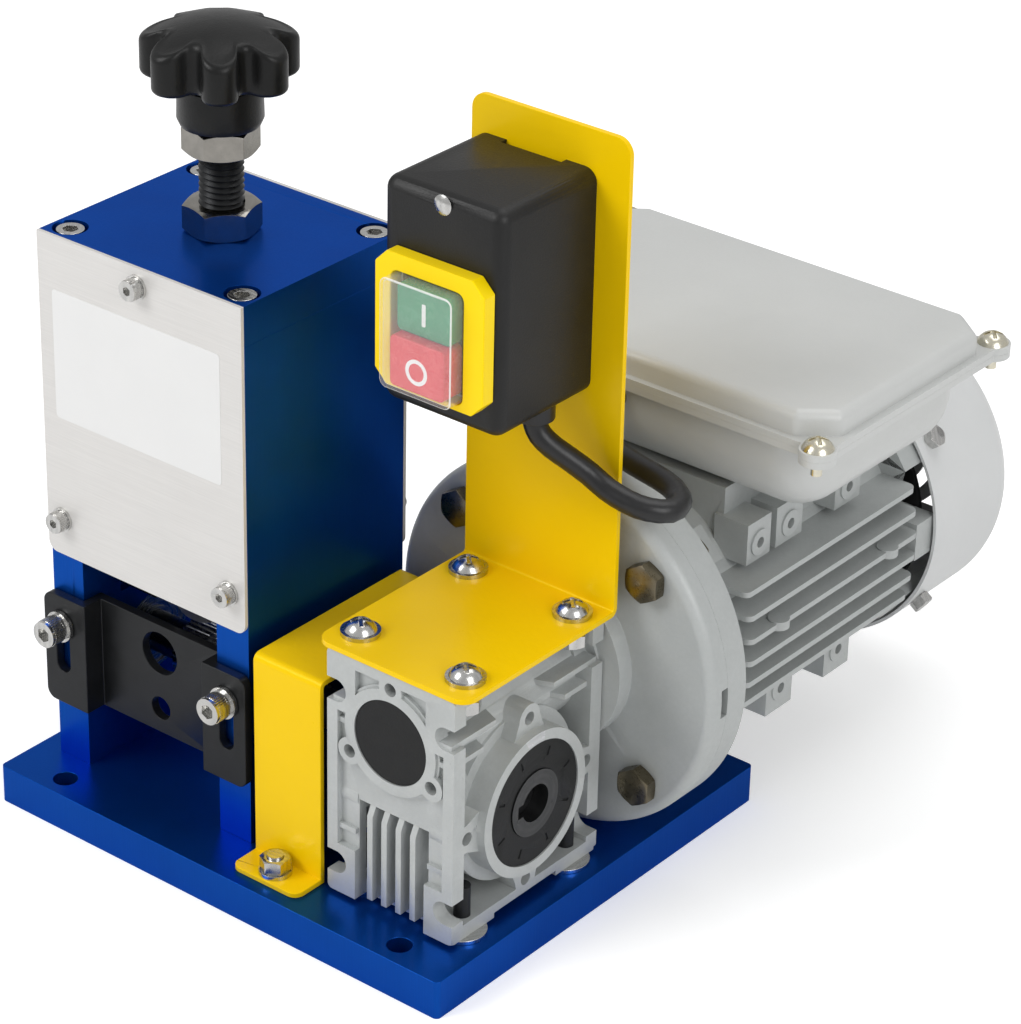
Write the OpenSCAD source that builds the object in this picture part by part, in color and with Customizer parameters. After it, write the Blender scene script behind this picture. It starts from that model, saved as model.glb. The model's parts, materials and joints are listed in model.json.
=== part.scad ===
/* [Base plate] */
// Width of the base plate
base_w = 209; // [205:1:230]
// Depth of the base plate
base_d = 181; // [178:1:200]
// Thickness of the base plate
base_t = 15; // [12:0.5:20]
// Corner radius of the base plate
base_corner_r = 2; // [1:0.5:6]
// Diameter of the four bench holes
bench_hole_d = 9; // [6:0.5:10]
// Bench holes in from the side edges
bench_in_x = 24.5; // [23.5:0.5:27]
// Bench holes in from the front and back edges
bench_in_y = 9; // [8.5:0.5:10.5]

/* [Head frame] */
// Head's middle, right of the base's middle
head_x = -47.5; // [-50:0.5:-47]
// Head's middle, behind the base's middle
head_y = -27.8; // [-30:0.1:-26]
// Width of the head over its side plates
head_w = 95; // [90:1:96]
// Depth of the side plates
head_d = 82; // [78:1:90]
// Height of the head above the base plate
head_h = 211; // [205:1:225]
// Thickness of each side plate
side_t = 15; // [13:0.5:17]
// Thickness of the top plate
top_t = 15; // [12:0.5:18]
// Thickness of the cover sheets
cover_t = 1.5; // [1:0.25:2]
// Height of the cover sheets
cover_h = 125; // [115:1:128]
// Corner radius of the cover sheets
cover_corner_r = 4; // [2:0.5:6]

/* [Knob and tension screw] */
// Diameter of the tension screw
screw_d = 15.8; // [14:0.2:17]
// Width across flats of the lock nut
lock_nut_w = 24; // [22:0.5:27]
// Height of the lock nut
lock_nut_h = 10.5; // [8:0.5:14]
// Gap from lock nut to collar at rest
screw_show = 18.9; // [12:0.1:24]
// Width across flats of the collar
collar_w = 23.5; // [21:0.5:26]
// Height of the knob collar
collar_h = 9.9; // [8:0.1:12]
// Diameter of the knob hub
knob_hub_d = 30; // [26:1:36]
// Height of the knob hub
knob_hub_h = 16.3; // [12:0.1:20]
// Number of lobes on the star knob
knob_lobes = 7; // [5:1:8]
// Radius of the star knob over its lobes
knob_r = 27.6; // [25:0.1:32]
// Radius of each lobe
knob_lobe_r = 6.2; // [5.5:0.1:7]
// Height of the rim of the star
knob_rim_h = 13.5; // [10:0.5:18]
// Height of the star over its dome
knob_star_h = 21.5; // [19:0.5:25]

/* [Blade and roller] */
// Outer diameter of the round blade
blade_d = 60; // [52:1:62]
// Bore of the round blade
blade_bore_d = 27.8; // [24:0.2:30]
// Thickness of the blade at its hub
blade_t = 9; // [7:0.5:10]
// Diameter of the feed roller
roller_d = 24; // [22:0.5:26]
// Width of the feed roller
roller_w = 26; // [20:1:32]
// Gap between blade and roller at rest
nip = 4; // [3.8:0.1:6]
// Depth of the blade carriage
carriage_d = 44; // [40:1:48]
// Width of the carriage's slot
carriage_slot_w = 30; // [26:1:32]

/* [Wire guide] */
// Width of the wire guide over its ears
guide_w = 98; // [96:0.5:100]
// Height of the wire guide
guide_h = 44.5; // [42:0.5:46]
// Lift of the wire guide off the base
guide_lift = 25; // [23:0.5:27]
// Thickness of the wire guide
guide_t = 3.7; // [3:0.1:4]
// Depth from ears to middle plate
guide_depth = 12.3; // [11:0.1:13]
// Diameter of the large wire hole
wire_hole_d = 16.6; // [12:0.2:18]
// Height of the large wire hole
wire_hole_up = 32.8; // [30:0.1:34]
// Diameter of the small wire hole
pilot_hole_d = 8.9; // [6:0.1:10]
// Height of the small wire hole
pilot_hole_up = 10; // [8:0.5:13]
// Upward travel of the wire guide
guide_travel = 16; // [12:0.5:16]

/* [Shaft cover] */
// Width of the shaft cover
shaft_cover_w = 30.8; // [28:0.1:31]
// Depth of the shaft cover's arch
shaft_cover_d = 80; // [79.5:0.5:84]
// Height of the shaft cover
shaft_cover_h = 82; // [81:0.5:84]
// Length of the shaft cover's feet
shaft_foot_l = 13; // [11:0.5:15]
// Thickness of the yellow sheet parts
sheet_t = 2; // [1.5:0.1:2]

/* [Gearbox] */
// Gearbox's middle, right of the base's middle
gear_x = 67.6; // [67:0.1:69]
// Gearbox's middle, behind the base's middle
gear_y = -32.7; // [-34:0.1:-32]
// Width of the gearbox housing
gear_w = 56; // [55:1:58]
// Depth of the gearbox housing
gear_d = 80; // [79:0.5:82]
// Height of the gearbox housing
gear_h = 97; // [96:0.5:100]
// Width over the two output faces
gear_face_w = 63; // [61:0.5:63.4]
// Height of the output axis above the foot
out_h = 40; // [39:0.5:41]
// Height of the worm axis above the output axis
centre_gap = 30; // [30:0.25:31]
// Diameter of the output face
out_face_d = 55; // [54:0.5:57]
// Pitch circle of the output face's holes
out_pcd = 65; // [64:0.5:66]
// Bore of the hollow output shaft
out_bore_d = 14; // [12:0.5:15]
// Outer diameter of the hollow output shaft
out_hub_d = 25; // [23:0.5:27]
// Number of teeth on the worm wheel
wheel_teeth = 30; // [24:1:40]

/* [Motor] */
// Diameter of both motor flanges
flange_d = 140; // [136:1:140]
// Thickness of the input flange
input_disc_t = 8.5; // [8:0.25:10]
// Thickness of the motor flange
motor_disc_t = 10.5; // [9:0.25:12]
// Pitch circle of the four flange bolts
flange_pcd = 115.5; // [114:0.5:118]
// Diameter of the motor shaft at the worm
motor_shaft_d = 11; // [9:0.5:12]
// Length of the finned stator housing
stator_l = 106; // [102:1:120]
// Radius of the stator housing's wall
stator_r = 46; // [45:0.5:46.5]
// Reach of the middle fins off the axis
fin_tip = 57.8; // [54:0.1:58.5]
// Distance between neighbouring fins
fin_pitch = 9; // [8.6:0.1:9.2]
// Thickness of each fin
fin_t = 2.2; // [1.8:0.1:2.8]
// Length of the fan cowl
cowl_l = 55.5; // [54:0.5:62]
// Outer radius of the fan cowl
cowl_r = 59.1; // [58.8:0.1:62]
// Number of fan blades
fan_blades = 8; // [5:1:10]

/* [Terminal box] */
// Width of the terminal box body
term_w = 154; // [150:1:158]
// Depth of the terminal box body
term_d = 98; // [96:1:100]
// Height of the terminal box body
term_h = 34.5; // [32:0.5:38]
// Edge radius of the terminal box body
term_r = 20; // [16:1:22]
// Width of the rim of the lid
lid_w = 170; // [168:1:172]
// Depth of the rim of the lid
lid_d = 109; // [107.5:0.5:112]
// Height of the lid above the box
lid_h = 11.5; // [10:0.5:14]

/* [Switch] */
// Width of the yellow bracket
bracket_w = 66; // [64:0.5:68]
// Height of the switch bracket
bracket_h = 176; // [170:1:186]
// Width of the switch box
switch_w = 50.7; // [49:0.1:52]
// Depth of the switch box
switch_d = 48.5; // [46:0.5:50]
// Height of the switch box
switch_h = 81; // [79:0.5:86]
// Lift of the switch box off the gearbox
switch_lift = 81.4; // [80:0.1:84]
// Width of the yellow bezel
bezel_w = 46; // [44:0.5:47]
// Height of the yellow bezel
bezel_h = 48.5; // [47.5:0.5:50]
// Depth of the yellow bezel
bezel_d = 5.6; // [5:0.1:6.5]
// Travel of each push button
button_travel = 3; // [2:0.5:3]
// Diameter of the motor cable
cable_d = 8.4; // [7:0.1:8.6]

/* [Hidden] */
$fn = 64;

// Overrun of every cut
over = 1;
// Gap round a fastener or spigot
fit_gap = 0.1;
// Gap round a turning shaft
run_gap = 0.05;
// Gap between sliding faces
slide_gap = 0.3;

// Screws of three sizes: shank, head and socket
small_d = 4;
small_head_d = 7.4;
small_head_h = 4;
small_socket = 3;
mid_d = 6;
mid_head_d = 10;
mid_head_h = 6;
mid_socket = 5;
big_d = 8;
big_head_d = 13;
big_head_h = 8;
big_socket = 6;
socket_depth_share = 0.55;
bite = 14;
small_hole_r = small_d / 2 + fit_gap;
mid_hole_r = mid_d / 2 + fit_gap;
big_hole_r = big_d / 2 + fit_gap;
sink_gap = 0.5;

// Washers and nuts
small_washer_d = 9;
small_washer_t = 1;
mid_washer_d = 12;
mid_washer_t = 1.6;
mid_nut_w = 10;
mid_nut_h = 5;
big_nut_w = 13;
big_nut_h = 6.5;
big_bolt_head_h = 5.3;
pan_head_d = 11.5;
pan_head_h = 4;
pan_slot_w = 1.4;
pan_slot_share = 0.6;
bracket_washer_d = 14;
nut_chamfer_share = 0.06;
nut_turn = 30;

// Main faces of the head
head_top_z = base_t + head_h;
side_h = head_h - top_t;
side_step = (head_w - side_t) / 2;
head_in = head_w / 2 - side_t;
head_front = head_y - head_d / 2;
head_back = head_y + head_d / 2;

// Screws of the head
top_screw_step = 33.5;
counterbore_d = 12.7;
counterbore_h = 6.4;
cover_screw_down = 7;
cover_screw_up = 14.5;
base_screw_step = 27;
cover_screw_l = 10;
cover_low_z = head_top_z - cover_h + cover_screw_up;
cover_high_z = head_top_z - cover_screw_down;

// Gearbox axes
foot_washer_t = 1.6;
foot_washer_d = 18;
foot_z = base_t + foot_washer_t;
feed_z = foot_z + out_h;
worm_up = out_h + centre_gap;
worm_z = foot_z + worm_up;
gear_top_z = foot_z + gear_h;
gear_front = gear_y - gear_d / 2;
gear_back = gear_y + gear_d / 2;
foot_in_x = 5;
foot_in_y = 11.5;
foot_step_x = gear_w / 2 - foot_in_x;
foot_step_y = gear_d / 2 - foot_in_y;

// Gearbox housing: plates and bosses
frame_t = 6;
frame_relief = 2.5;
foot_t = 5.5;
crown_t = 4.5;
post_w = 4.6;
corner_w = 12.5;
corner_h = 20;
crown_corner_h = 23;
corner_round = 2;
pocket_h = 8.8;
pocket_w = 8.4;
pocket_up = 12;
pocket_down = 15.7;
ring_r = 20;
ring_boss_r = 5;
ring_boss_at = 20.8;
ring_boss_l = 13;
ring_boss_angles = [90, 210, 330];
ring_hole_r = 2.5;
ring_hole_deep = 10;
worm_tube_r = 21;
drum_r = 32;
drum_w = 44;
ear_r = 5.5;
ear_hole_r = 2.5;
ear_hole_deep = 10;
ear_l = 12;
ear_root_at = 24;
ear_root_w = 18;
side_rib_t = 2;
rib_in = 16;
rib_slope = 4;
foot_bolt_show = 11.5;
rib_height_shares = [0.27, 0.71, 0.79];
rib_length_shares = [0.08, 0.2, 0.28];
front_fin_t = 2.4;
front_fin_pitch = 6.4;
front_fin_count = 4;
front_fin_h = 36;
front_fin_slope = 8;
front_fin_in = 1;
foot_relief = 2;
foot_relief_l = 34;

// Inside of the gearbox: worm and wheel
seal_r = 23.5;
seal_t = 7;
seal_sink = 0.5;
seal_mark_count = 8;
seal_mark_l = 3.4;
seal_mark_w = 1;
seal_mark_deep = 0.5;
seal_mark_at = 19;
chamber_w = 34;
chamber_r = 26;
wheel_w = 18;
wheel_r = 22.3;
wheel_tooth_h = 2.6;
worm_r = 7.2;
worm_cave_r = 9;
worm_stub_r = 5;
worm_groove = 1.6;
worm_turns = 7;
worm_pitch = 4.7;
worm_sleeve_r = 9.5;
sleeve_in = 20;
sleeve_out = 7;
worm_bore_in = 9;
worm_sleeve_start = gear_d / 2 - sleeve_in;
worm_sleeve_end = gear_d / 2 + sleeve_out;
worm_bore_start = gear_d / 2 - worm_bore_in;
worm_front_r = 13;
worm_front_w = 8;
worm_back_r = 18.5;
worm_back_w = 9;
sleeve_room = 2.5;
shaft_in = 23;
cap_r = 15.8;
cap_t = 4;
cap_sink = 0.4;
key_w = 5;
key_up = 2.3;
key_deep = 3;
key_l = 40;

// Input flange and the joint to the motor
spigot_r = 26.5;
spigot_l = 1;
hub_r = 35;
hub_l = 6.7;
register_r = 47.5;
register_l = 3;
rim_round = 4;
window_w = 11;
window_l = 3.5;
input_face = gear_back + spigot_l + hub_l;
joint_y = input_face + input_disc_t;
motor_back = joint_y + motor_disc_t;

// Motor: neck, tie lugs, stator, pads, rotor and bearings
neck_r = 49.5;
neck_l = 19.5;
lug_w = 14;
lug_out = 55;
stator_front = motor_back + neck_l;
stator_back = stator_front + stator_l;
bore_wall = 6;
core_r = stator_r - bore_wall;
core_l = 60;
core_start = 24;
core_bore_r = 25.3;
winding_in = 28;
winding_out = 37;
winding_l = 12;
rotor_r = 25;
rotor_ring_l = 5;
rotor_ring_r = 21;
spindle_r = 7.5;
fan_spindle_r = 6;
motor_bearing_r = 17.5;
motor_bearing_w = 11;
fin_count = 6;
fin_arc_r = 95;
fin_corner_r = 3;
under_fin_count = 8;
under_fin_tip = 54;
under_fin_pitch = 8.6;
pad_face = 46.5;
pad_in = 32;
pad_low = 27;
pad_high = 43;
pad_w = 16;
pad_near = 28.5;
pad_far = 65;
pad_extra_near = 11;
pad_extra_w = 14;
pad_boss_r = 5;
pad_boss_h = 0.8;
pad_hole_r = 2;
pad_boss_up = 34;
knock_r = 4;
knock_t = 3.4;
knock_near = 19.5;
knock_far = 88;
shield_r = 46;
shield_t = 6.5;
shield_spigot = 4;
shield_hub_r = 21;
shield_hub_l = 9.2;
cowl_finger_t = 6;
nut_space = 10;
neck_wall = 9;
neck_room_start = 4;
cowl_gap = 9.5;
cowl_front = stator_back + cowl_gap;
cowl_t = 1.2;
cowl_round = 12;
cowl_lug_w = 12;
cowl_lug_l = 16;
cowl_lug_angle = 35;
cowl_angles = [cowl_lug_angle, 180 - cowl_lug_angle, 180 + cowl_lug_angle, -cowl_lug_angle];
cowl_screw_in = 8.5;
tab_w = 15;
tab_l = 12;
grille_rings = 4;
grille_first_r = 12;
grille_pitch = 9.5;
grille_slot = 4.5;
grille_spoke = 4;
grille_spokes = 6;
grille_turn = 15;
fan_r = 50;
fan_t = 2;
fan_w = 16;
fan_hub_r = 10;
fan_start = 12;
fan_blade_t = 2;

// Terminal box, lid and what is in it
neck_w = 70;
neck_start = 12.5;
neck_len = 81;
term_wall = 2.5;
term_up = 53.4;
term_back = 53;
term_z = worm_z + term_up;
term_y = stator_front + term_back;
term_top = term_z + term_h;
neck_hole = 40;
lid_rim_t = 2.5;
lid_top_inset_x = 2.7;
lid_top_inset_y = 2.5;
lid_cut_x = 12;
lid_cut_y = 10;
lid_edge = 4;
lid_rim_r = 6;
lid_screw_x = 81;
lid_screw_y = 54;
lid_ear_r = 6.5;
lid_wall = 3;
lid_flange_in = 8;
cap_gap = 2;
cap_room = 6;

// Switch bracket, switch box, bezel and buttons
bend_r = 3;
bracket_corner = 6;
bracket_front_edge = 0.7;
bracket_z = gear_top_z + sheet_t;
plate_in = 1.4;
plate_face = gear_back - plate_in;
plate_back = plate_face + sheet_t;
bracket_top = bracket_z + bracket_h - sheet_t;
switch_left = 5.45;
switch_x = gear_x - switch_left;
switch_z = gear_top_z + switch_lift;
switch_front = plate_face - switch_d;
switch_round = 5;
switch_wall = 2.5;
switch_screw_left = 4.8;
switch_screw_x = gear_x - switch_screw_left;
switch_screw_down = 3.6;
back_screw_step = 25;
notch_w = 25;
notch_d = 3;
notch_in = 1.5;
bezel_left = 5.5;
bezel_x = gear_x - bezel_left;
bezel_up = 9.5;
bezel_cut = 5;
window_left = 6.45;
window_x = gear_x - window_left;
window_width = 30.7;
window_h = 40;
window_up = 11.8;
boot_t = 0.8;
boot_out = 5.8;
boot_round = 3;
boot_gap = 0.2;
button_w = 23;
start_h = 17;
stop_h = 18.4;
button_gap = 0.5;
button_low = 1.4;
button_seat = 0.8;
start_l = 6.1;
stop_l = 9.6;
button_round = 2;
stop_mid_z = switch_z + window_up + button_low + stop_h / 2;
start_mid_z = switch_z + window_up + button_low + stop_h + button_gap + start_h / 2;
stem_r = 5;
stem_l = 7;
stem_room = button_travel + over;
block_w = 36;
block_h = 52;
block_d = 18;

// Cable route, chosen by hand
cable_points = [[77, -10.5, 194], [77, -10.5, 190.5], [77.2, -10.5, 187], [79.2, -10, 182.8],
  [83.2, -8.4, 179], [88.5, -5.5, 175], [94.5, -2, 170], [100.5, -0.5, 166], [108.5, 0.5, 163.5],
  [115.5, 3, 162], [120.5, 8.5, 161], [119.5, 15.5, 161], [113.5, 20.5, 161.5], [105.5, 23, 162],
  [96.5, 24.3, 162.5], [87, 26.3, 162.9], [77.5, 29.3, 163.2], [68.5, 34, 163.8],
  [61.9, 40.3, 165], [58.9, 47, 165.8], [58.6, 52.5, 165.9], [58.6, 56.5, 165.9]];
cable_sides = 12;
cable_steps = 2;
cable_side_shares = [[0.95, 0, 0], [0.35, 0, 0.94]];
cable_r = cable_d / 2;
gland_r = 7;
gland_l = 6;
gland_neck_r = 5.3;
gland_nut_l = 3;
gland_stop = 1;
gland_up = 25.9;
term_gland_r = 5.9;
term_gland_x = -9;
mains_gland_up = 17.8;
mains_gland_x = 4;
mains_gland_r = 10;
mains_gland_l = 32;
mains_bore_r = 4.5;

// Blade carriage
groove_deep = 3;
groove_floor_up = 65;
blade_y = head_y;
nip_drop = sqrt(pow((blade_d + roller_d) / 2 + nip, 2) - pow(blade_y - gear_y, 2));
blade_z = feed_z + nip_drop;
carriage_w = 2 * (head_in + groove_deep - slide_gap);
carriage_below = 18.6;
blade_room = 2;
bridge_h = 18;
carriage_low = blade_z - carriage_below;
bridge_z = blade_z + blade_d / 2 + blade_room;
carriage_top = bridge_z + bridge_h;
screw_flange_d = 22;
screw_flange_t = 5;
retainer_w = 40;
retainer_d = 40;
retainer_t = 4;
retainer_step = 15;
journal_r = 6;
blade_bearing_r = 14;
blade_bearing_w = 8;
blade_flange_r = 18;
blade_flange_t = 4;
blade_nut_t = 6;
blade_ring_r = 21.7;
blade_thread_r = 12;
blade_web_r = 25.9;
blade_web_t = 6;
blade_edge_t = 0.5;
roller_teeth = 36;
roller_tooth_h = 0.8;
roller_groove_w = 3;
tooth_angle_shares = [[0, 0], [0.25, 0], [0.4, 1], [0.85, 1]];
feed_r = 7.5;
feed_bearing_r = 16;
feed_bearing_w = 9;
shaft_hole_gap = 1;
shaft_tip = 25;
centre_hole_r = 1.6;
centre_hole_l = 3;
shaft_end_in = 2;

// Wire guide slots
slot_w = 6.6;
guide_screw_up = 33;
guide_corner_r = 4;
guide_front = head_front - slide_gap - guide_t;
guide_z = base_t + guide_lift;
guide_screw_z = guide_z + guide_screw_up;
spring_washer_t = 1.6;
spring_washer_d = 10;

// Knob
knob_facing = -42.4;
knob_turn_to = -47;
knob_floor_share = 0.69;
knob_lobe_at = knob_r - knob_lobe_r;
knob_floor_r = knob_r * knob_floor_share;
knob_reach = knob_floor_r - knob_lobe_r;
knob_valley_at = (pow(knob_lobe_at, 2) - pow(knob_reach, 2))
  / (2 * (knob_lobe_at * cos(180 / knob_lobes) - knob_reach));
knob_valley_r = knob_valley_at - knob_floor_r;
knob_dome_r = (pow(knob_r, 2) + pow(knob_star_h - knob_rim_h, 2)) / (2 * (knob_star_h - knob_rim_h));
knob_bore_l = 22;
hub_round = 3;
lock_nut_z = head_top_z;
collar_z = lock_nut_z + lock_nut_h + screw_show;
knob_z = collar_z + collar_h;

// Shaft cover
shaft_cover_x = gear_x - gear_face_w / 2 - slide_gap - shaft_cover_w;
shaft_cover_back = 0.7;
shaft_cover_y = gear_y + shaft_cover_back;
stud_in = 6.5;
foot_corner_r = 4;
stud_l = 10;
stud_x = shaft_cover_x + shaft_cover_w / 2;
function stud_y(side) = shaft_cover_y + side * (shaft_cover_d / 2 + stud_in);

module rod_x(r, from, to, y = 0, z = 0) {
  translate([from, y, z]) rotate([0, 90, 0]) cylinder(r = r, h = to - from);
}
module rod_y(r, from, to, x = 0, z = 0) {
  translate([x, from, z]) rotate([-90, 0, 0]) cylinder(r = r, h = to - from);
}
module rod_z(r, from, to, x = 0, y = 0) translate([x, y, from]) cylinder(r = r, h = to - from);
module hole_x(r, from, to, y = 0, z = 0) rod_x(r, from - over, to + over, y, z);
module hole_y(r, from, to, x = 0, z = 0) rod_y(r, from - over, to + over, x, z);
module hole_z(r, from, to, x = 0, y = 0) rod_z(r, from - over, to + over, x, y);
module corners(x, y) {
  for (sx = [-1, 1], sy = [-1, 1]) {
    translate([sx * x, sy * y]) children();
  }
}
module block(low, high) translate(low) cube(high - low);
module at_motor() translate([gear_x, 0, worm_z]) children();
module at_feed(x = gear_x) translate([x, gear_y, feed_z]) children();
module round_rect(w, d, r) {
  square([w - 2 * r, d], center = true);
  square([w, d - 2 * r], center = true);
  corners(w / 2 - r, d / 2 - r) circle(r = r);
}
module top_round(w, h, r) {
  translate([-w / 2, 0]) square([w, h - r]);
  translate([r - w / 2, 0]) square([w - 2 * r, h]);
  for (sx = [-1, 1]) {
    translate([sx * (w / 2 - r), h - r]) circle(r = r);
  }
}
module extrude_x(from, to) {
  translate([from, 0, 0]) rotate([90, 0, 90]) linear_extrude(to - from) children();
}
module extrude_y(from, to) {
  translate([0, to, 0]) rotate([90, 0, 0]) linear_extrude(to - from) children();
}
module extrude_z(from, to) translate([0, 0, from]) linear_extrude(to - from) children();
module front_facing() rotate([90, 0, 0]) children();
module back_facing() rotate([-90, 0, 0]) children();
module right_facing() rotate([0, 90, 0]) children();
module hex_prism(across, h, facing) {
  rotate(facing - 30) cylinder(r = across / 2 / cos(30), h = h, $fn = 6);
}
module hex_solid(across, h, facing) {
  flat_r = across * (0.5 - nut_chamfer_share / 4);
  corner_r = across * (0.5 + 2 * nut_chamfer_share);
  drop = (corner_r - flat_r) / 2;
  intersection() {
    hex_prism(across, h, facing);
    rotate_extrude() polygon([[0, 0], [flat_r, 0], [corner_r, drop], [corner_r, h - drop],
      [flat_r, h], [0, h]]);
  }
}
module ring(outer, inner, h) {
  difference() {
    cylinder(r = outer, h = h);
    hole_z(inner, 0, h);
  }
}
module cap_screw(d, head_d, head_h, socket, l) {
  difference() {
    union() {
      translate([0, 0, -l]) cylinder(d = d, h = l);
      cylinder(d = head_d, h = head_h);
    }
    translate([0, 0, head_h * (1 - socket_depth_share)]) hex_prism(socket, head_h, 0);
  }
}
module dome(d, h) {
  round_r = (pow(d / 2, 2) + pow(h, 2)) / (2 * h);
  intersection() {
    translate([0, 0, h - round_r]) sphere(r = round_r);
    cylinder(d = d, h = h);
  }
}
module pan_screw(d, l) {
  slot_l = pan_head_d * pan_slot_share;
  difference() {
    union() {
      translate([0, 0, -l]) cylinder(d = d, h = l);
      dome(pan_head_d, pan_head_h);
    }
    for (a = [45, 135]) {
      rotate(a) translate([-slot_l / 2, -pan_slot_w / 2, pan_head_h * pan_slot_share])
        cube([slot_l, pan_slot_w, pan_head_h]);
    }
  }
}
module bearing(inner, outer, w) {
  lip = (outer - inner) / 6;
  sink = w / 12;
  rotate_extrude() polygon([[inner, 0], [inner + lip, 0], [inner + lip, sink],
    [outer - lip, sink], [outer - lip, 0], [outer, 0], [outer, w], [outer - lip, w],
    [outer - lip, w - sink], [inner + lip, w - sink], [inner + lip, w], [inner, w]]);
}

module at_base_screws() translate([head_x, head_y]) corners(side_step, base_screw_step) children();
module at_top_screws() translate([head_x, head_y]) corners(side_step, top_screw_step) children();
module at_foot_bolts() translate([gear_x, gear_y]) corners(foot_step_x, foot_step_y) children();

// Base plate with its screw and bolt holes
module base_plate() {
  color("#1c4fb4") difference() {
    linear_extrude(base_t) round_rect(base_w, base_d, base_corner_r);
    corners(base_w / 2 - bench_in_x, base_d / 2 - bench_in_y) hole_z(bench_hole_d / 2, 0, base_t);
    at_base_screws() {
      hole_z(big_hole_r, 0, base_t);
      rod_z(big_head_d / 2 + sink_gap, -over, big_head_h + sink_gap);
    }
    at_foot_bolts() {
      hole_z(mid_hole_r, 0, base_t);
      rod_z(mid_head_d / 2 + sink_gap, -over, mid_head_h + sink_gap);
    }
    for (sy = [-1, 1]) {
      rod_z(mid_hole_r, base_t - stud_l, base_t + over, stud_x, stud_y(sy));
    }
  }
}

// Side plates of the head with their grooves
module head_side(side) {
  color("#1c4fb4") translate([head_x, 0, 0]) mirror([side < 0 ? 1 : 0, 0, 0]) difference() {
    block([head_in, head_front, base_t], [head_w / 2, head_back, base_t + side_h]);
    block([head_in - over, blade_y - carriage_d / 2 - slide_gap, base_t + groove_floor_up],
      [head_in + groove_deep, blade_y + carriage_d / 2 + slide_gap, head_top_z]);
    rod_x(feed_bearing_r + run_gap, head_in - over, head_in + feed_bearing_w, gear_y, feed_z);
    rod_x(feed_r + shaft_hole_gap, head_in, head_w / 2 + over, gear_y, feed_z);
    rod_y(small_hole_r, head_front - over, head_front + cover_screw_l, side_step, cover_low_z);
    rod_y(small_hole_r, head_back - cover_screw_l, head_back + over, side_step, cover_low_z);
    rod_y(mid_hole_r, head_front - over, head_front + bite, side_step, guide_screw_z);
    for (sy = [-1, 1]) {
      rod_z(mid_hole_r, base_t + side_h - bite - over, head_top_z, side_step, head_y + sy * top_screw_step);
      hole_z(big_hole_r, base_t, base_t + bite, side_step, head_y + sy * base_screw_step);
    }
  }
}
module head_side_left() head_side(-1);
module head_side_right() head_side(1);

// Top plate of the head
module head_top() {
  color("#1c4fb4") difference() {
    block([head_x - head_w / 2, head_front, base_t + side_h], [head_x + head_w / 2, head_back, head_top_z]);
    hole_z(screw_d / 2 + fit_gap, base_t + side_h, head_top_z, head_x, head_y);
    at_top_screws() {
      hole_z(mid_hole_r, base_t + side_h, head_top_z);
      rod_z(counterbore_d / 2, head_top_z - counterbore_h, head_top_z + over);
    }
    rod_y(small_hole_r, head_front - over, head_front + cover_screw_l, head_x, cover_high_z);
    rod_y(small_hole_r, head_back - cover_screw_l, head_back + over, head_x, cover_high_z);
  }
}
module head_screws() {
  top_shank = top_t - counterbore_h + bite;
  low_shank = base_t - big_head_h + bite;
  color("#c9ccd0") {
    at_top_screws() translate([0, 0, head_top_z - counterbore_h])
      cap_screw(mid_d, mid_head_d, mid_head_h, mid_socket, top_shank);
    at_base_screws() translate([0, 0, big_head_h + sink_gap]) mirror([0, 0, 1])
      cap_screw(big_d, big_head_d, big_head_h, big_socket, low_shank);
  }
}

// Cover sheets and their screws
module cover_sheet() {
  linear_extrude(cover_t) difference() {
    union() {
      round_rect(head_w, cover_h, cover_corner_r);
      translate([-head_w / 2, 0]) square([head_w, cover_h / 2]);
    }
    translate([0, cover_h / 2 - cover_screw_down]) circle(r = small_hole_r);
    for (sx = [-1, 1]) {
      translate([sx * side_step, cover_screw_up - cover_h / 2]) circle(r = small_hole_r);
    }
  }
}
module front_cover() {
  color("#d5d3d0") translate([head_x, head_front, head_top_z - cover_h / 2]) front_facing() cover_sheet();
}
module back_cover() {
  color("#d5d3d0") translate([head_x, head_back + cover_t, head_top_z - cover_h / 2])
    front_facing() cover_sheet();
}
module cover_screw() {
  shank = cover_screw_l + cover_t - over;
  ring(small_washer_d / 2, small_hole_r, small_washer_t);
  translate([0, 0, small_washer_t]) cap_screw(small_d, small_head_d, small_head_h, small_socket, shank);
}
module cover_screws() {
  spots = [[head_x, cover_high_z], [head_x - side_step, cover_low_z], [head_x + side_step, cover_low_z]];
  color("#c9ccd0") for (p = spots) {
    translate([p[0], head_front - cover_t, p[1]]) front_facing() cover_screw();
    translate([p[0], head_back + cover_t, p[1]]) back_facing() cover_screw();
  }
}

// Wire guide that slides on two screws
module wire_guide() {
  low_x = head_in - slide_gap;
  plan = [[-guide_w / 2, 0], [-low_x + guide_t, 0], [-low_x + guide_t, guide_depth - guide_t],
    [low_x - guide_t, guide_depth - guide_t], [low_x - guide_t, 0], [guide_w / 2, 0],
    [guide_w / 2, guide_t], [low_x, guide_t], [low_x, guide_depth], [-low_x, guide_depth],
    [-low_x, guide_t], [-guide_w / 2, guide_t]];
  slot_low = guide_screw_up - guide_travel - slide_gap;
  color("#26272a") translate([head_x, guide_front, guide_z]) difference() {
    intersection() {
      linear_extrude(guide_h) polygon(plan);
      extrude_y(-over, guide_depth + over) translate([0, guide_h / 2])
        round_rect(guide_w, guide_h, guide_corner_r);
    }
    rod_y(wire_hole_d / 2, guide_t + over, guide_depth + over, 0, wire_hole_up);
    rod_y(pilot_hole_d / 2, guide_t + over, guide_depth + over, 0, pilot_hole_up);
    for (sx = [-1, 1]) {
      extrude_y(-over, guide_t + over) translate([sx * side_step, 0]) {
        translate([-slot_w / 2, slot_low]) square([slot_w, guide_travel + slide_gap]);
        translate([0, slot_low]) circle(d = slot_w);
        translate([0, guide_screw_up]) circle(d = slot_w);
      }
    }
  }
}
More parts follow.
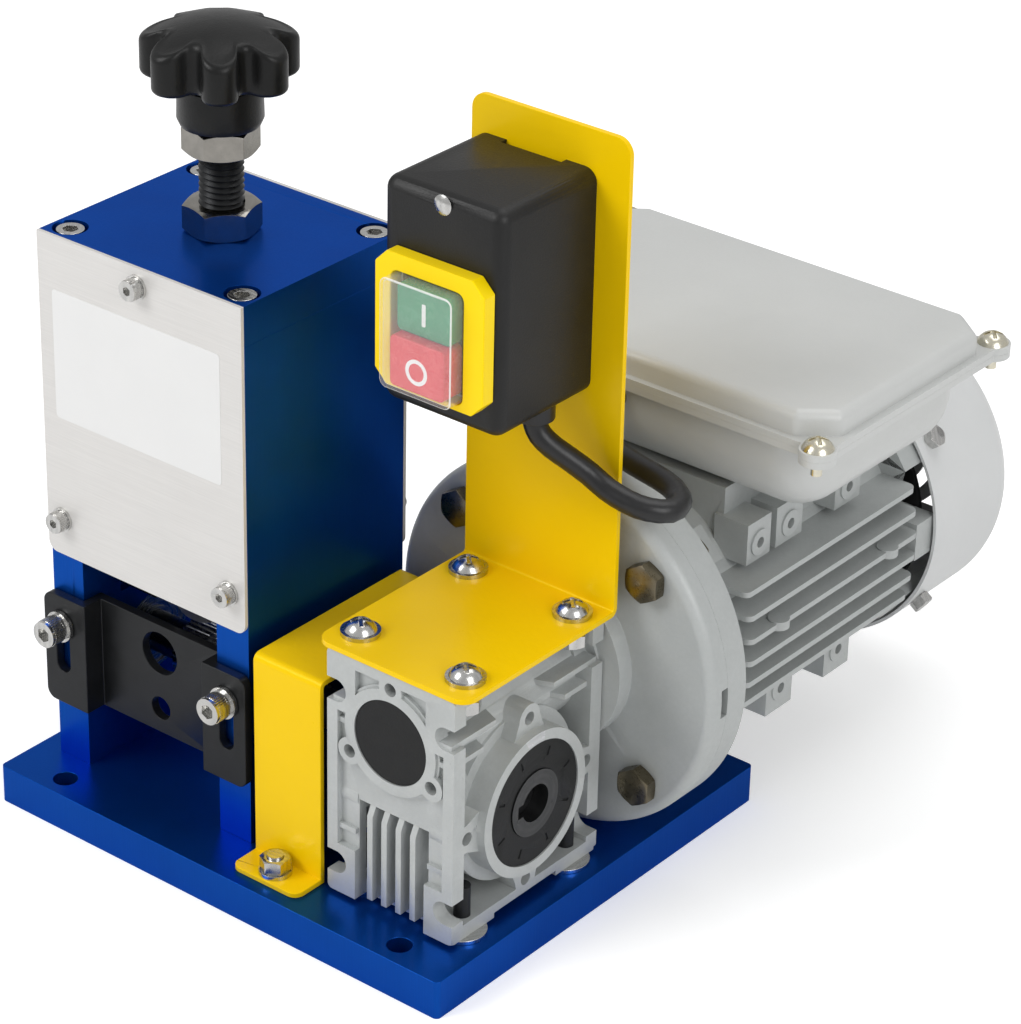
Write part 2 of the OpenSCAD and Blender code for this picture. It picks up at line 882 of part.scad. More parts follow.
module guide_screws() {
  face = guide_front - slide_gap;
  stack = mid_washer_t + spring_washer_t;
  shank = stack + 2 * slide_gap + guide_t + bite - over;
  color("#c9ccd0") for (sx = [-1, 1]) {
    translate([head_x + sx * side_step, face, guide_screw_z]) front_facing() {
      ring(mid_washer_d / 2, mid_hole_r, mid_washer_t);
      translate([0, 0, mid_washer_t]) ring(spring_washer_d / 2, mid_hole_r, spring_washer_t);
      translate([0, 0, stack]) cap_screw(mid_d, mid_head_d, mid_head_h, mid_socket, shank);
    }
  }
}

// Lock nut, tension screw, collar and star knob
module lock_nut() {
  color("#a9adb2") translate([head_x, head_y, lock_nut_z]) difference() {
    hex_solid(lock_nut_w, lock_nut_h, knob_facing);
    hole_z(screw_d / 2 + fit_gap, 0, lock_nut_h);
  }
}
module tension_screw() {
  low = carriage_top - slide_gap / 2 - screw_flange_t;
  color("#2b2c2f") {
    rod_z(screw_flange_d / 2, low, low + screw_flange_t, head_x, head_y);
    rod_z(screw_d / 2, low, knob_z + knob_bore_l - over, head_x, head_y);
  }
}
module knob_collar() {
  color("#c9ccd0") translate([head_x, head_y, collar_z]) difference() {
    hex_solid(collar_w, collar_h, knob_facing);
    hole_z(screw_d / 2 + run_gap, 0, collar_h);
  }
}
module star_outline() {
  step = 360 / knob_lobes;
  polygon([for (i = [0:2 * knob_lobes - 1]) (i % 2 == 0 ? knob_lobe_at : knob_valley_at)
    * [cos(i * step / 2), sin(i * step / 2)]]);
  for (i = [0:knob_lobes - 1]) {
    rotate(i * step) translate([knob_lobe_at, 0]) circle(r = knob_lobe_r);
  }
}
module star_knob() {
  step = 360 / knob_lobes;
  color("#1b1c1e") translate([head_x, head_y, knob_z]) difference() {
    union() {
      cylinder(d = knob_hub_d - 2 * hub_round, h = knob_hub_h + over);
      translate([0, 0, hub_round]) cylinder(d = knob_hub_d, h = knob_hub_h);
      translate([0, 0, hub_round])
        rotate_extrude() translate([knob_hub_d / 2 - hub_round, 0]) circle(r = hub_round);
      translate([0, 0, knob_hub_h]) intersection() {
        rotate(knob_turn_to) linear_extrude(knob_star_h) difference() {
          star_outline();
          for (i = [0:knob_lobes - 1]) {
            rotate((i + 0.5) * step) translate([knob_valley_at, 0]) circle(r = knob_valley_r);
          }
        }
        translate([0, 0, knob_star_h - knob_dome_r]) sphere(r = knob_dome_r);
      }
    }
    translate([0, 0, -over]) cylinder(r = screw_d / 2 + run_gap, h = knob_bore_l + over);
  }
}

// Blade carriage, an upside-down U
module blade_carriage() {
  color("#8f9398") translate([head_x, blade_y, 0]) difference() {
    block([-carriage_w / 2, -carriage_d / 2, carriage_low], [carriage_w / 2, carriage_d / 2, carriage_top]);
    block([-carriage_slot_w / 2, -carriage_d / 2 - over, carriage_low - over],
      [carriage_slot_w / 2, carriage_d / 2 + over, bridge_z]);
    hole_x(journal_r + shaft_hole_gap, -carriage_w / 2, carriage_w / 2, 0, blade_z);
    rod_x(blade_bearing_r + run_gap, -carriage_w / 2 - over, blade_bearing_w - carriage_w / 2, 0, blade_z);
    rod_x(blade_bearing_r + run_gap, carriage_w / 2 - blade_bearing_w, carriage_w / 2 + over, 0, blade_z);
    rod_z(screw_flange_d / 2 + slide_gap, carriage_top - screw_flange_t - slide_gap, carriage_top + over);
    corners(retainer_step, retainer_step)
      rod_z(small_hole_r, carriage_top - cover_screw_l, carriage_top + over);
  }
}
module retaining_plate() {
  color("#7d8186") translate([head_x, blade_y, carriage_top]) difference() {
    linear_extrude(retainer_t) round_rect(retainer_w, retainer_d, cover_corner_r);
    hole_z(screw_d / 2 + slide_gap, 0, retainer_t);
    corners(retainer_step, retainer_step) hole_z(small_hole_r, 0, retainer_t);
  }
}
module retaining_screws() {
  shank = retainer_t + cover_screw_l - over;
  color("#c9ccd0") translate([head_x, blade_y, carriage_top + retainer_t])
    corners(retainer_step, retainer_step)
    cap_screw(small_d, small_head_d, small_head_h, small_socket, shank);
}

// Blade, its shaft and its nut
module blade() {
  half = blade_t / 2;
  color("#b7b4b0") translate([head_x, blade_y, blade_z]) right_facing()
    rotate_extrude() polygon([[blade_bore_d / 2, -half], [blade_ring_r, -half],
      [blade_ring_r, -blade_web_t / 2], [blade_web_r, -blade_web_t / 2],
      [blade_d / 2, -blade_edge_t / 2], [blade_d / 2, blade_edge_t / 2],
      [blade_web_r, blade_web_t / 2], [blade_ring_r, blade_web_t / 2],
      [blade_ring_r, half], [blade_bore_d / 2, half]]);
}
module blade_shaft() {
  half = blade_t / 2;
  reach = carriage_w / 2 - slide_gap;
  color("#9a9da2") translate([head_x, blade_y, blade_z]) right_facing() {
    translate([0, 0, -reach]) cylinder(r = journal_r, h = 2 * reach);
    translate([0, 0, -half - blade_flange_t]) cylinder(r = blade_flange_r, h = blade_flange_t);
    translate([0, 0, -half]) cylinder(r = blade_bore_d / 2 - fit_gap, h = blade_t);
    translate([0, 0, half]) cylinder(r = blade_thread_r, h = blade_nut_t);
  }
}
module blade_nut() {
  color("#55585c") translate([head_x + blade_t / 2, blade_y, blade_z]) right_facing() difference() {
      ring(blade_flange_r, blade_thread_r + fit_gap, blade_nut_t);
      for (a = [0:90:270]) {
        rotate(a) translate([blade_flange_r - key_deep, -key_w / 2, -over])
          cube([key_deep + over, key_w, blade_nut_t + 2 * over]);
      }
    }
}
module blade_bearings() {
  color("#a9adb2") for (side = [-1, 1]) {
    translate([head_x + side * (carriage_w / 2 - blade_bearing_w / 2) - blade_bearing_w / 2,
      blade_y, blade_z]) right_facing() bearing(journal_r + run_gap, blade_bearing_r, blade_bearing_w);
  }
}

// Feed shaft, its key and the toothed roller
module feed_shaft() {
  step_x = head_x + head_w / 2 + over - gear_x;
  color("#8a8d91") at_feed() difference() {
    union() {
      rod_x(feed_r, head_x - gear_x - head_w / 2 + shaft_end_in, step_x);
      rod_x(out_bore_d / 2, step_x, shaft_tip);
    }
    rod_x(centre_hole_r, shaft_tip - centre_hole_l, shaft_tip + over);
    block([-key_l / 2, -out_bore_d, -key_w / 2 - run_gap],
      [key_l / 2, key_deep - out_bore_d / 2, key_w / 2 + run_gap]);
  }
}
module drive_key() {
  color("#6f7277") at_feed() block([fit_gap - key_l / 2, fit_gap - out_bore_d / 2 - key_up, -key_w / 2],
    [key_l / 2 - fit_gap, key_deep - out_bore_d / 2 - run_gap, key_w / 2]);
}
module toothed_disc(tip_r, root_r, teeth, bore_r) {
  step = 360 / teeth;
  difference() {
    polygon([for (i = [0:teeth - 1], share = tooth_angle_shares)
      let (r = share[1] * tip_r + (1 - share[1]) * root_r)
      r * [cos((i + share[0]) * step), sin((i + share[0]) * step)]]);
    circle(r = bore_r);
  }
}
module feed_roller() {
  color("#6b6e73") at_feed(head_x) difference() {
    extrude_x(-roller_w / 2, roller_w / 2)
      toothed_disc(roller_d / 2, roller_d / 2 - roller_tooth_h, roller_teeth, feed_r + run_gap);
    extrude_x(-roller_groove_w / 2, roller_groove_w / 2) difference() {
      circle(r = roller_d / 2 + over);
      circle(r = roller_d / 2 - roller_tooth_h);
    }
  }
}

// Bearings of feed shaft, worm and motor
module ball_bearings() {
  color("#a9adb2") {
    for (side = [-1, 1]) {
      translate([head_x + side * (head_in + feed_bearing_w / 2) - feed_bearing_w / 2,
        gear_y, feed_z]) right_facing() bearing(feed_r + run_gap, feed_bearing_r, feed_bearing_w);
    }
    at_motor() for (b = [[gear_front + cap_t, worm_stub_r, worm_front_r, worm_front_w],
      [gear_back - worm_back_w, worm_sleeve_r, worm_back_r, worm_back_w],
      [stator_front - motor_bearing_w, spindle_r, motor_bearing_r, motor_bearing_w],
      [stator_back - shield_spigot, spindle_r, motor_bearing_r, motor_bearing_w]]) {
      translate([0, b[0], 0]) back_facing() bearing(b[1] + run_gap, b[2], b[3]);
    }
  }
}

// Bent cover over the feed shaft
module shaft_cover() {
  far = shaft_cover_d / 2 + shaft_foot_l;
  color("#f2c40d") translate([shaft_cover_x, shaft_cover_y, base_t]) difference() {
    intersection() {
      extrude_x(0, shaft_cover_w) difference() {
        union() {
          top_round(shaft_cover_d, shaft_cover_h, bend_r);
          translate([-far, 0]) square([2 * far, sheet_t]);
        }
        translate([0, -over]) top_round(shaft_cover_d - 2 * sheet_t,
          shaft_cover_h - sheet_t + over, bend_r - sheet_t);
      }
      extrude_z(-over, shaft_cover_h + over) translate([shaft_cover_w / 2, 0])
        round_rect(shaft_cover_w, 2 * far, foot_corner_r);
    }
    for (sy = [-1, 1]) {
      hole_z(mid_hole_r, 0, sheet_t, shaft_cover_w / 2, sy * (shaft_cover_d / 2 + stud_in));
    }
  }
}
module shaft_cover_nuts() {
  top = base_t + sheet_t;
  color("#c9ccd0") for (sy = [-1, 1]) {
    rod_z(mid_d / 2, base_t - stud_l, top + mid_washer_t + mid_nut_h + over, stud_x, stud_y(sy));
    translate([stud_x, stud_y(sy), top]) difference() {
      union() {
        cylinder(d = mid_washer_d, h = mid_washer_t);
        translate([0, 0, mid_washer_t]) hex_solid(mid_nut_w, mid_nut_h, 0);
      }
      translate([0, 0, -over]) cylinder(r = mid_hole_r, h = mid_nut_h * 2);
    }
  }
}

// Gearbox housing
module frame_outline() translate([0, gear_h / 2]) round_rect(gear_w, gear_h, corner_round);
module frame_pockets() {
  for (sx = [-1, 1], z = [pocket_up, gear_h - pocket_down]) {
    translate([sx * (gear_w / 2 - pocket_w + pocket_h / 2), z]) circle(d = pocket_h);
    translate([sx * (gear_w / 2 - pocket_w + pocket_h / 2) - (sx < 0 ? pocket_w : 0),
      z - pocket_h / 2]) square([pocket_w, pocket_h]);
  }
}
module frame_front() {
  intersection() {
    frame_outline();
    union() {
      for (sx = [-1, 1]) {
        translate([sx * (gear_w - corner_w) / 2 - corner_w / 2, 0]) {
          square([corner_w, corner_h]);
          translate([0, gear_h - crown_corner_h]) square([corner_w, crown_corner_h]);
        }
        translate([sx * (gear_w - post_w) / 2 - post_w / 2, 0]) square([post_w, gear_h]);
      }
      translate([0, worm_up]) {
        circle(r = ring_r);
        for (a = ring_boss_angles) {
          rotate(a) translate([ring_boss_at, 0]) circle(r = ring_boss_r);
        }
      }
    }
  }
}
module frame_back() {
  difference() {
    frame_outline();
    translate([corner_w - gear_w / 2, -over]) square([gear_w - 2 * corner_w, out_h + over]);
  }
}
module housing_frame() {
  front = -gear_d / 2;
  difference() {
    union() {
      extrude_y(front, front + frame_t) frame_front();
      extrude_y(front + frame_relief, front + frame_t) frame_back();
    }
    extrude_y(front - over, front + frame_t + over) frame_pockets();
  }
  for (i = [0:front_fin_count - 1]) {
    x = (i - (front_fin_count - 1) / 2) * front_fin_pitch - front_fin_t / 2;
    extrude_x(x, x + front_fin_t) polygon([[front + front_fin_in, foot_relief],
      [front + front_fin_in, front_fin_h],
      [front + front_fin_in + front_fin_slope / 2, front_fin_h + front_fin_slope],
      [-gear_d / 4, front_fin_h + front_fin_slope], [-gear_d / 4, foot_relief]]);
  }
}
module housing_feet() {
  difference() {
    extrude_z(0, foot_t) difference() {
      round_rect(gear_w, gear_d, corner_round);
      for (sy = [-1, 1]) {
        translate([corner_w - gear_w / 2, sy * gear_d / 2 - frame_t])
          square([gear_w - 2 * corner_w, 2 * frame_t]);
      }
    }
    block([-gear_w / 2 - over, -foot_relief_l / 2, -over],
      [gear_w / 2 + over, foot_relief_l / 2, foot_relief]);
  }
  extrude_z(gear_h - crown_t, gear_h) round_rect(gear_w, gear_d, corner_round);
}
module ear_profile() {
  for (a = [0:90:270]) {
    rotate(a) {
      translate([out_pcd / 2, 0]) circle(r = ear_r);
      polygon([[ear_root_at, -ear_root_w / 2], [out_pcd / 2, -ear_r],
        [out_pcd / 2, ear_r], [ear_root_at, ear_root_w / 2]]);
    }
  }
}
module side_ribs() {
  for (sx = [-1, 1], sy = [-1, 1], i = [0:len(rib_height_shares) - 1]) {
    z = rib_height_shares[i] * gear_h;
    reach = gear_d / 2 - frame_t - rib_length_shares[i] * gear_d;
    extrude_z(z, z + side_rib_t) polygon([[sx * rib_in, sy * (gear_d / 2 - over)],
      [sx * (gear_w / 2 - side_rib_t), sy * (gear_d / 2 - over)],
      [sx * (gear_w / 2 - side_rib_t), sy * (reach + rib_slope)], [sx * rib_in, sy * reach]]);
  }
}
module at_ring_bosses() {
  for (a = ring_boss_angles) {
    translate([ring_boss_at * cos(a), 0, worm_up + ring_boss_at * sin(a)]) children();
  }
}
module housing_bores() {
  face = gear_face_w / 2;
  front = -gear_d / 2;
  hole_x(out_hub_d / 2 + run_gap, -face, face, 0, out_h);
  rod_x(seal_r + run_gap, face - seal_sink - seal_t, face + over, 0, out_h);
  rod_x(seal_r + run_gap, -face - over, seal_sink + seal_t - face, 0, out_h);
  rod_x(chamber_r, -chamber_w / 2, chamber_w / 2, 0, out_h);
  rod_y(worm_cave_r, front + cap_t, -front - worm_back_w, 0, worm_up);
  rod_y(worm_front_r + run_gap, front, front + cap_t + worm_front_w, 0, worm_up);
  rod_y(worm_back_r + run_gap, -front - worm_back_w, -front + over, 0, worm_up);
  rod_y(worm_sleeve_r + fit_gap, worm_sleeve_start - over, -front, 0, worm_up);
  rod_y(cap_r + fit_gap, front - over, front + cap_t, 0, worm_up);
  at_ring_bosses() rod_y(ring_hole_r, front - over, front + ring_hole_deep);
  for (a = [0:90:270], side = [-1, 1]) {
    mid = side * (gear_w / 2 - ear_hole_deep / 2);
    rod_x(ear_hole_r, mid - ear_hole_deep / 2 - (side < 0 ? over : 0),
      mid + ear_hole_deep / 2 + (side > 0 ? over : 0), out_pcd / 2 * cos(a), out_h + out_pcd / 2 * sin(a));
  }
  corners(foot_step_x, foot_step_y) {
    hole_z(mid_hole_r, 0, foot_t);
    hole_z(mid_hole_r, gear_h - crown_t, gear_h);
  }
}
module gearbox_housing() {
  color("#b9bcbf") translate([gear_x, gear_y, foot_z]) difference() {
    union() {
      housing_frame();
      mirror([0, 1, 0]) housing_frame();
      housing_feet();
      rod_y(worm_tube_r, over - gear_d / 2, gear_d / 2 - over, 0, worm_up);
      at_ring_bosses() rod_y(ring_boss_r, -gear_d / 2, ring_boss_l - gear_d / 2);
      rod_x(drum_r, -drum_w / 2, drum_w / 2, 0, out_h);
      rod_x(out_face_d / 2, -gear_face_w / 2, gear_face_w / 2, 0, out_h);
      for (side = [-1, 1]) {
        mid = side * (gear_w / 2 - ear_l / 2);
        translate([0, 0, out_h]) extrude_x(mid - ear_l / 2, mid + ear_l / 2) ear_profile();
      }
      side_ribs();
    }
    housing_bores();
  }
}
module worm_cap() {
  color("#222325") at_motor() rod_y(cap_r, gear_front + cap_sink, gear_front + cap_t);
}
module output_seals() {
  color("#1f2022") for (side = [-1, 1]) {
    at_feed() mirror([side < 0 ? 1 : 0, 0, 0])
      translate([gear_face_w / 2 - seal_sink - seal_t, 0, 0]) right_facing() difference() {
        ring(seal_r, out_hub_d / 2 + run_gap, seal_t);
        for (i = [0:seal_mark_count - 1]) {
          rotate((i + 0.5) * 360 / seal_mark_count)
            translate([seal_mark_at - seal_mark_l / 2, -seal_mark_w / 2, seal_t - seal_mark_deep])
            cube([seal_mark_l, seal_mark_w, seal_mark_deep + over]);
        }
      }
  }
}
module gearbox_bolts() {
  shank = base_t - mid_head_h + foot_washer_t + foot_t + foot_bolt_show;
  color("#1f2022") at_foot_bolts() translate([0, 0, mid_head_h + sink_gap])
    mirror([0, 0, 1]) cap_screw(mid_d, mid_head_d, mid_head_h, mid_socket, shank);
}
module foot_washers() {
  color("#c9ccd0") at_foot_bolts() translate([0, 0, base_t])
    ring(foot_washer_d / 2, mid_hole_r, foot_washer_t);
}

// Worm drive: hollow output shaft, bronze wheel and worm
module output_hub() {
  half = gear_face_w / 2;
  color("#b4b6b9") at_feed() difference() {
    rod_x(out_hub_d / 2, -half, half);
    hole_x(out_bore_d / 2 + run_gap, -half, half);
    block([-half - over, -out_bore_d / 2 - key_up, -key_w / 2], [half + over, 0, key_w / 2]);
  }
}
module worm_wheel() {
  color("#b87f3a") at_feed() extrude_x(-wheel_w / 2, wheel_w / 2)
    toothed_disc(wheel_r, wheel_r - wheel_tooth_h, wheel_teeth, out_hub_d / 2 + run_gap);
}
module worm() {
  front = -gear_d / 2 + cap_t;
  half = worm_turns * worm_pitch / 2;
  profile = [for (i = [0:worm_turns - 1], share = tooth_angle_shares)
    [worm_r - (1 - share[1]) * worm_groove, (i + share[0]) * worm_pitch - half]];
  color("#8a8d91") translate([gear_x, gear_y, worm_z]) back_facing() difference() {
    union() {
      translate([0, 0, front]) cylinder(r = worm_stub_r, h = worm_sleeve_start - front);
      rotate_extrude() polygon(concat([[0, -half]], profile, [[worm_r - worm_groove, half], [0, half]]));
      translate([0, 0, worm_sleeve_start])
        cylinder(r = worm_sleeve_r, h = worm_sleeve_end - worm_sleeve_start);
    }
    translate([0, 0, worm_bore_start]) cylinder(r = motor_shaft_d / 2 + run_gap,
      h = worm_sleeve_end - worm_bore_start + over);
  }
}

// Input flange, motor flange and their bolts
module at_flange_bolts() {
  for (a = [45:90:315]) {
    translate([flange_pcd / 2 * cos(a), 0, flange_pcd / 2 * sin(a)]) children();
  }
}
module input_flange() {
  flange_r = flange_d / 2;
  color("#a9acaf") at_motor() difference() {
    union() {
      rod_y(spigot_r, gear_back, input_face);
      rod_y(hub_r, gear_back + spigot_l, input_face + over);
      rod_y(flange_r - rim_round, input_face, joint_y);
      rod_y(flange_r, input_face + rim_round, joint_y);
      translate([0, input_face + rim_round, 0]) back_facing()
        rotate_extrude() translate([flange_r - rim_round, 0]) circle(r = rim_round);
    }
    hole_y(worm_sleeve_r + sleeve_room, gear_back, joint_y);
    rod_y(register_r + fit_gap, joint_y - register_l - fit_gap, joint_y + over);
    at_flange_bolts() hole_y(big_hole_r, input_face, joint_y);
    block([register_r, joint_y - window_l, -window_w / 2],
      [flange_r + over, joint_y + over, window_w / 2]);
  }
}
module flange_bolts() {
  grip = motor_back - input_face;
  color("#b9b19c") at_motor() at_flange_bolts() {
    translate([0, input_face, 0]) front_facing() {
      translate([0, 0, -grip - big_nut_h - over]) cylinder(d = big_d, h = grip + big_nut_h + over);
      hex_solid(big_nut_w, big_bolt_head_h, 0);
    }
    translate([0, motor_back, 0]) back_facing() difference() {
      hex_solid(big_nut_w, big_nut_h, 0);
      hole_z(big_hole_r, 0, big_nut_h);
    }
  }
}
module motor_flange() {
  color("#a9acaf") at_motor() difference() {
    union() {
      rod_y(register_r, joint_y - register_l, joint_y + over);
      rod_y(flange_d / 2, joint_y, motor_back);
      rod_y(neck_r, motor_back, stator_front);
      for (a = [45:90:315]) {
        rotate([0, a, 0]) block([neck_r - neck_wall / 2, motor_back + nut_space, -lug_w / 2],
            [lug_out, stator_front, lug_w / 2]);
      }
    }
    difference() {
      rod_y(neck_r - neck_wall, motor_back + neck_room_start, stator_front + over);
      rod_y(shield_hub_r, motor_back, stator_front + over);
    }
    hole_y(spindle_r + sink_gap, joint_y - register_l, stator_front);
    rod_y(motor_bearing_r + run_gap, stator_front - motor_bearing_w, stator_front + over);
    at_flange_bolts() hole_y(big_hole_r, joint_y, motor_back);
  }
}

// Stator housing with fins, pads and neck
function fin_reach(offset, tip) = sqrt(pow(fin_arc_r, 2) - pow(offset, 2)) - fin_arc_r + tip;
module side_fins() {
  mid_y = (stator_front + stator_back) / 2;
  for (i = [0:fin_count - 1]) {
    up = (i - (fin_count - 1) / 2) * fin_pitch;
    extrude_z(up - fin_t / 2, up + fin_t / 2) translate([0, mid_y])
      round_rect(2 * fin_reach(up, fin_tip), stator_l, fin_corner_r);
  }
}
module under_fins() {
  for (i = [0:under_fin_count - 1]) {
    aside = (i - (under_fin_count - 1) / 2) * under_fin_pitch;
    block([aside - fin_t / 2, stator_front, -fin_reach(aside, under_fin_tip)],
      [aside + fin_t / 2, stator_back, 0]);
  }
}
module foot_pad(side, up, near, width) {
  face_x = side * pad_face;
  boss_z = up * pad_boss_up;
  difference() {
    union() {
      block([min(face_x, side * pad_in), stator_front + near, up > 0 ? pad_low : -pad_high],
        [max(face_x, side * pad_in), stator_front + near + width, up > 0 ? pad_high : -pad_low]);
      rod_x(pad_boss_r, face_x - pad_boss_h, face_x + pad_boss_h, stator_front + near + width / 2, boss_z);
    }
    rod_x(pad_hole_r, face_x - pad_boss_r, face_x + pad_boss_r, stator_front + near + width / 2, boss_z);
  }
}
module stator_housing() {
  color("#a9acaf") at_motor() difference() {
    union() {
      rod_y(stator_r, stator_front, stator_back);
      side_fins();
      under_fins();
      for (side = [-1, 1]) {
        for (up = [-1, 1], near = [pad_near, pad_far]) {
          foot_pad(side, up, near, pad_w);
        }
        foot_pad(side, 1, pad_extra_near, pad_extra_w);
        for (near = [knock_near, knock_far]) {
          rod_z(knock_r, fin_pitch / 2 - knock_t / 2, fin_pitch / 2 + knock_t / 2,
            side * (fin_tip - knock_r / 2), stator_front + near);
        }
      }
      block([-neck_w / 2, stator_front + neck_start, 0],
        [neck_w / 2, stator_front + neck_start + neck_len, term_z - worm_z]);
    }
    hole_y(core_r, stator_front, stator_back);
    rod_z(neck_hole / 2, 0, term_z - worm_z + over, 0, term_y);
  }
}
module stator_core() {
  start = stator_front + core_start;
  color("#9b5a2a") at_motor() difference() {
    union() {
      rod_y(core_r - fit_gap, start, start + core_l);
      rod_y(winding_out, start - winding_l, start + core_l + winding_l);
    }
    hole_y(core_bore_r, start - winding_l, start + core_l + winding_l);
    rod_y(winding_in, start - winding_l - over, start);
    rod_y(winding_in, start + core_l, start + core_l + winding_l + over);
  }
}
module rotor() {
  start = stator_front + core_start;
  tip = joint_y - shaft_in;
  color("#8a8d91") at_motor() {
    rod_y(motor_shaft_d / 2, tip, joint_y);
    rod_y(spindle_r, joint_y - over, stator_back + shield_hub_l);
    rod_y(fan_spindle_r, stator_back, stator_back + fan_start + fan_w);
    rod_y(rotor_r, start, start + core_l);
    rod_y(rotor_ring_r, start - rotor_ring_l, start + core_l + rotor_ring_l);
  }
}
module rear_end_shield() {
  inner_r = cowl_r - cowl_t - slide_gap;
  color("#a9acaf") at_motor() difference() {
    union() {
      rod_y(shield_r, stator_back, stator_back + shield_t);
      rod_y(core_r - fit_gap, stator_back - shield_spigot, stator_back + over);
      rod_y(shield_hub_r, stator_back, stator_back + shield_hub_l);
      for (a = cowl_angles) {
        rotate([0, -a, 0]) {
          block([core_r, stator_back, -cowl_lug_w / 2],
            [inner_r - over, stator_back + shield_t, cowl_lug_w / 2]);
          block([inner_r - cowl_finger_t, stator_back, -cowl_lug_w / 2],
            [inner_r - over, cowl_front + cowl_lug_l, cowl_lug_w / 2]);
        }
      }
      for (a = [0, 180]) {
        rotate([0, a, 0]) block([core_r, stator_back, -tab_w / 2],
          [inner_r - over, stator_back + tab_l, tab_w / 2]);
      }
    }
    rod_y(motor_bearing_r + run_gap, stator_back - shield_spigot - over,
      stator_back - shield_spigot + motor_bearing_w);
    rod_y(spindle_r + sink_gap, stator_back, stator_back + shield_hub_l + over);
    for (a = cowl_angles) {
      rotate([0, -a, 0]) rod_x(small_hole_r, inner_r - cowl_finger_t - over, inner_r,
        cowl_front + cowl_screw_in);
    }
  }
}

// Fan and its cowl with the grille
module cowl_shape(shrink, front) {
  r = cowl_r - shrink;
  back = cowl_l - shrink;
  edge = cowl_round - shrink;
  translate([0, front]) square([r, back - edge - front]);
  translate([0, front]) square([r - edge, back - front]);
  translate([r - edge, back - edge]) circle(r = edge);
}
module fan_cowl() {
  color("#c4c6c8") translate([gear_x, cowl_front, worm_z]) back_facing() difference() {
    rotate_extrude() intersection() {
      cowl_shape(0, 0);
      square([cowl_r, cowl_l]);
    }
    rotate_extrude() intersection() {
      cowl_shape(cowl_t, -over);
      translate([0, -over]) square([cowl_r, cowl_l]);
    }
    for (i = [0:grille_rings - 1]) {
      r = grille_first_r + i * grille_pitch;
      translate([0, 0, cowl_l - cowl_t - over]) difference() {
        ring(r + grille_slot / 2, r - grille_slot / 2, cowl_t + 2 * over);
        for (k = [0:grille_spokes - 1]) {
          rotate(k * 360 / grille_spokes + grille_turn) translate([0, -grille_spoke / 2, -over])
            cube([cowl_r, grille_spoke, cowl_t + 4 * over]);
        }
      }
    }
    for (a = cowl_angles) {
      rotate(a) hole_x(small_hole_r, cowl_r - cowl_t, cowl_r, 0, cowl_screw_in);
    }
  }
}
module cowl_screws() {
  shank = cowl_finger_t;
  color("#c9ccd0") for (a = cowl_angles) {
    translate([gear_x, cowl_front + cowl_screw_in, worm_z]) rotate([0, -a, 0])
      translate([cowl_r, 0, 0]) right_facing() {
        translate([0, 0, -shank]) cylinder(d = small_d, h = shank);
        hex_solid(small_head_d, small_head_h, 0);
      }
  }
}
module fan() {
  color("#2b2c2f") translate([gear_x, stator_back + fan_start, worm_z]) back_facing() difference() {
      union() {
        cylinder(r = fan_hub_r, h = fan_w);
        cylinder(r = fan_r, h = fan_t);
        for (i = [0:fan_blades - 1]) {
          rotate(i * 360 / fan_blades) block([fan_hub_r - over, -fan_blade_t / 2, fan_t / 2],
              [fan_r - over, fan_blade_t / 2, fan_w - over]);
        }
      }
      hole_z(fan_spindle_r + run_gap, 0, fan_w);
    }
}

// Terminal box, lid, screws and capacitor
module soft_box(w, d, h, r) {
  intersection() {
    hull() {
      corners(w / 2 - r, d / 2 - r) translate([0, 0, r]) {
        sphere(r = r, $fn = 32);
        cylinder(r = r, h = h, $fn = 32);
      }
    }
    block([-w / 2, -d / 2, 0], [w / 2, d / 2, h]);
  }
}
module lid_rim() {
  difference() {
    linear_extrude(lid_rim_t) {
      round_rect(lid_w, lid_d, lid_rim_r);
      corners(lid_screw_x, lid_screw_y) circle(r = lid_ear_r);
    }
    corners(lid_screw_x, lid_screw_y) hole_z(small_hole_r, 0, lid_rim_t);
  }
}
module terminal_box() {
  inner_w = term_w - 2 * term_wall;
  inner_d = term_d - 2 * term_wall;
  color("#a9acaf") translate([gear_x, term_y, term_z]) difference() {
    union() {
      soft_box(term_w, term_d, term_h, term_r);
      translate([0, 0, term_h - lid_rim_t]) lid_rim();
    }
    translate([0, 0, term_wall]) soft_box(inner_w, inner_d, term_h + over, term_r - term_wall);
    hole_z(neck_hole / 2, 0, term_wall);
    rod_y(gland_neck_r + fit_gap, -term_d / 2 - over, over - inner_d / 2, term_gland_x, gland_up);
    hole_y(gland_neck_r + fit_gap, inner_d / 2 - gland_nut_l, term_d / 2, mains_gland_x, mains_gland_up);
  }
}
module lid_plan(in) {
  x = lid_w / 2 - lid_top_inset_x - in;
  y = lid_d / 2 - lid_top_inset_y - in;
  polygon([[lid_cut_x - x, -y], [x - lid_cut_x, -y], [x, lid_cut_y - y], [x, y - lid_cut_y],
    [x - lid_cut_x, y], [lid_cut_x - x, y], [-x, y - lid_cut_y], [-x, lid_cut_y - y]]);
}
module terminal_lid() {
  x = lid_w / 2 - lid_top_inset_x - lid_edge;
  y = lid_d / 2 - lid_top_inset_y - lid_edge;
  cut_x = lid_cut_x - lid_edge / 2;
  cut_y = lid_cut_y - lid_edge / 2;
  color("#b4b7b9") translate([gear_x, term_y, term_top]) difference() {
    union() {
      lid_rim();
      hull() {
        for (sx = [-1, 1], sy = [-1, 1], p = [[x - cut_x, y], [x, y - cut_y]]) {
          translate([sx * p[0], sy * p[1], lid_h - lid_edge]) sphere(r = lid_edge, $fn = 24);
          translate([sx * p[0], sy * p[1], lid_rim_t / 2])
            cylinder(r = lid_edge, h = lid_rim_t / 2, $fn = 24);
        }
      }
    }
    translate([0, 0, -over]) linear_extrude(lid_h - lid_wall + over) lid_plan(lid_flange_in);
  }
}
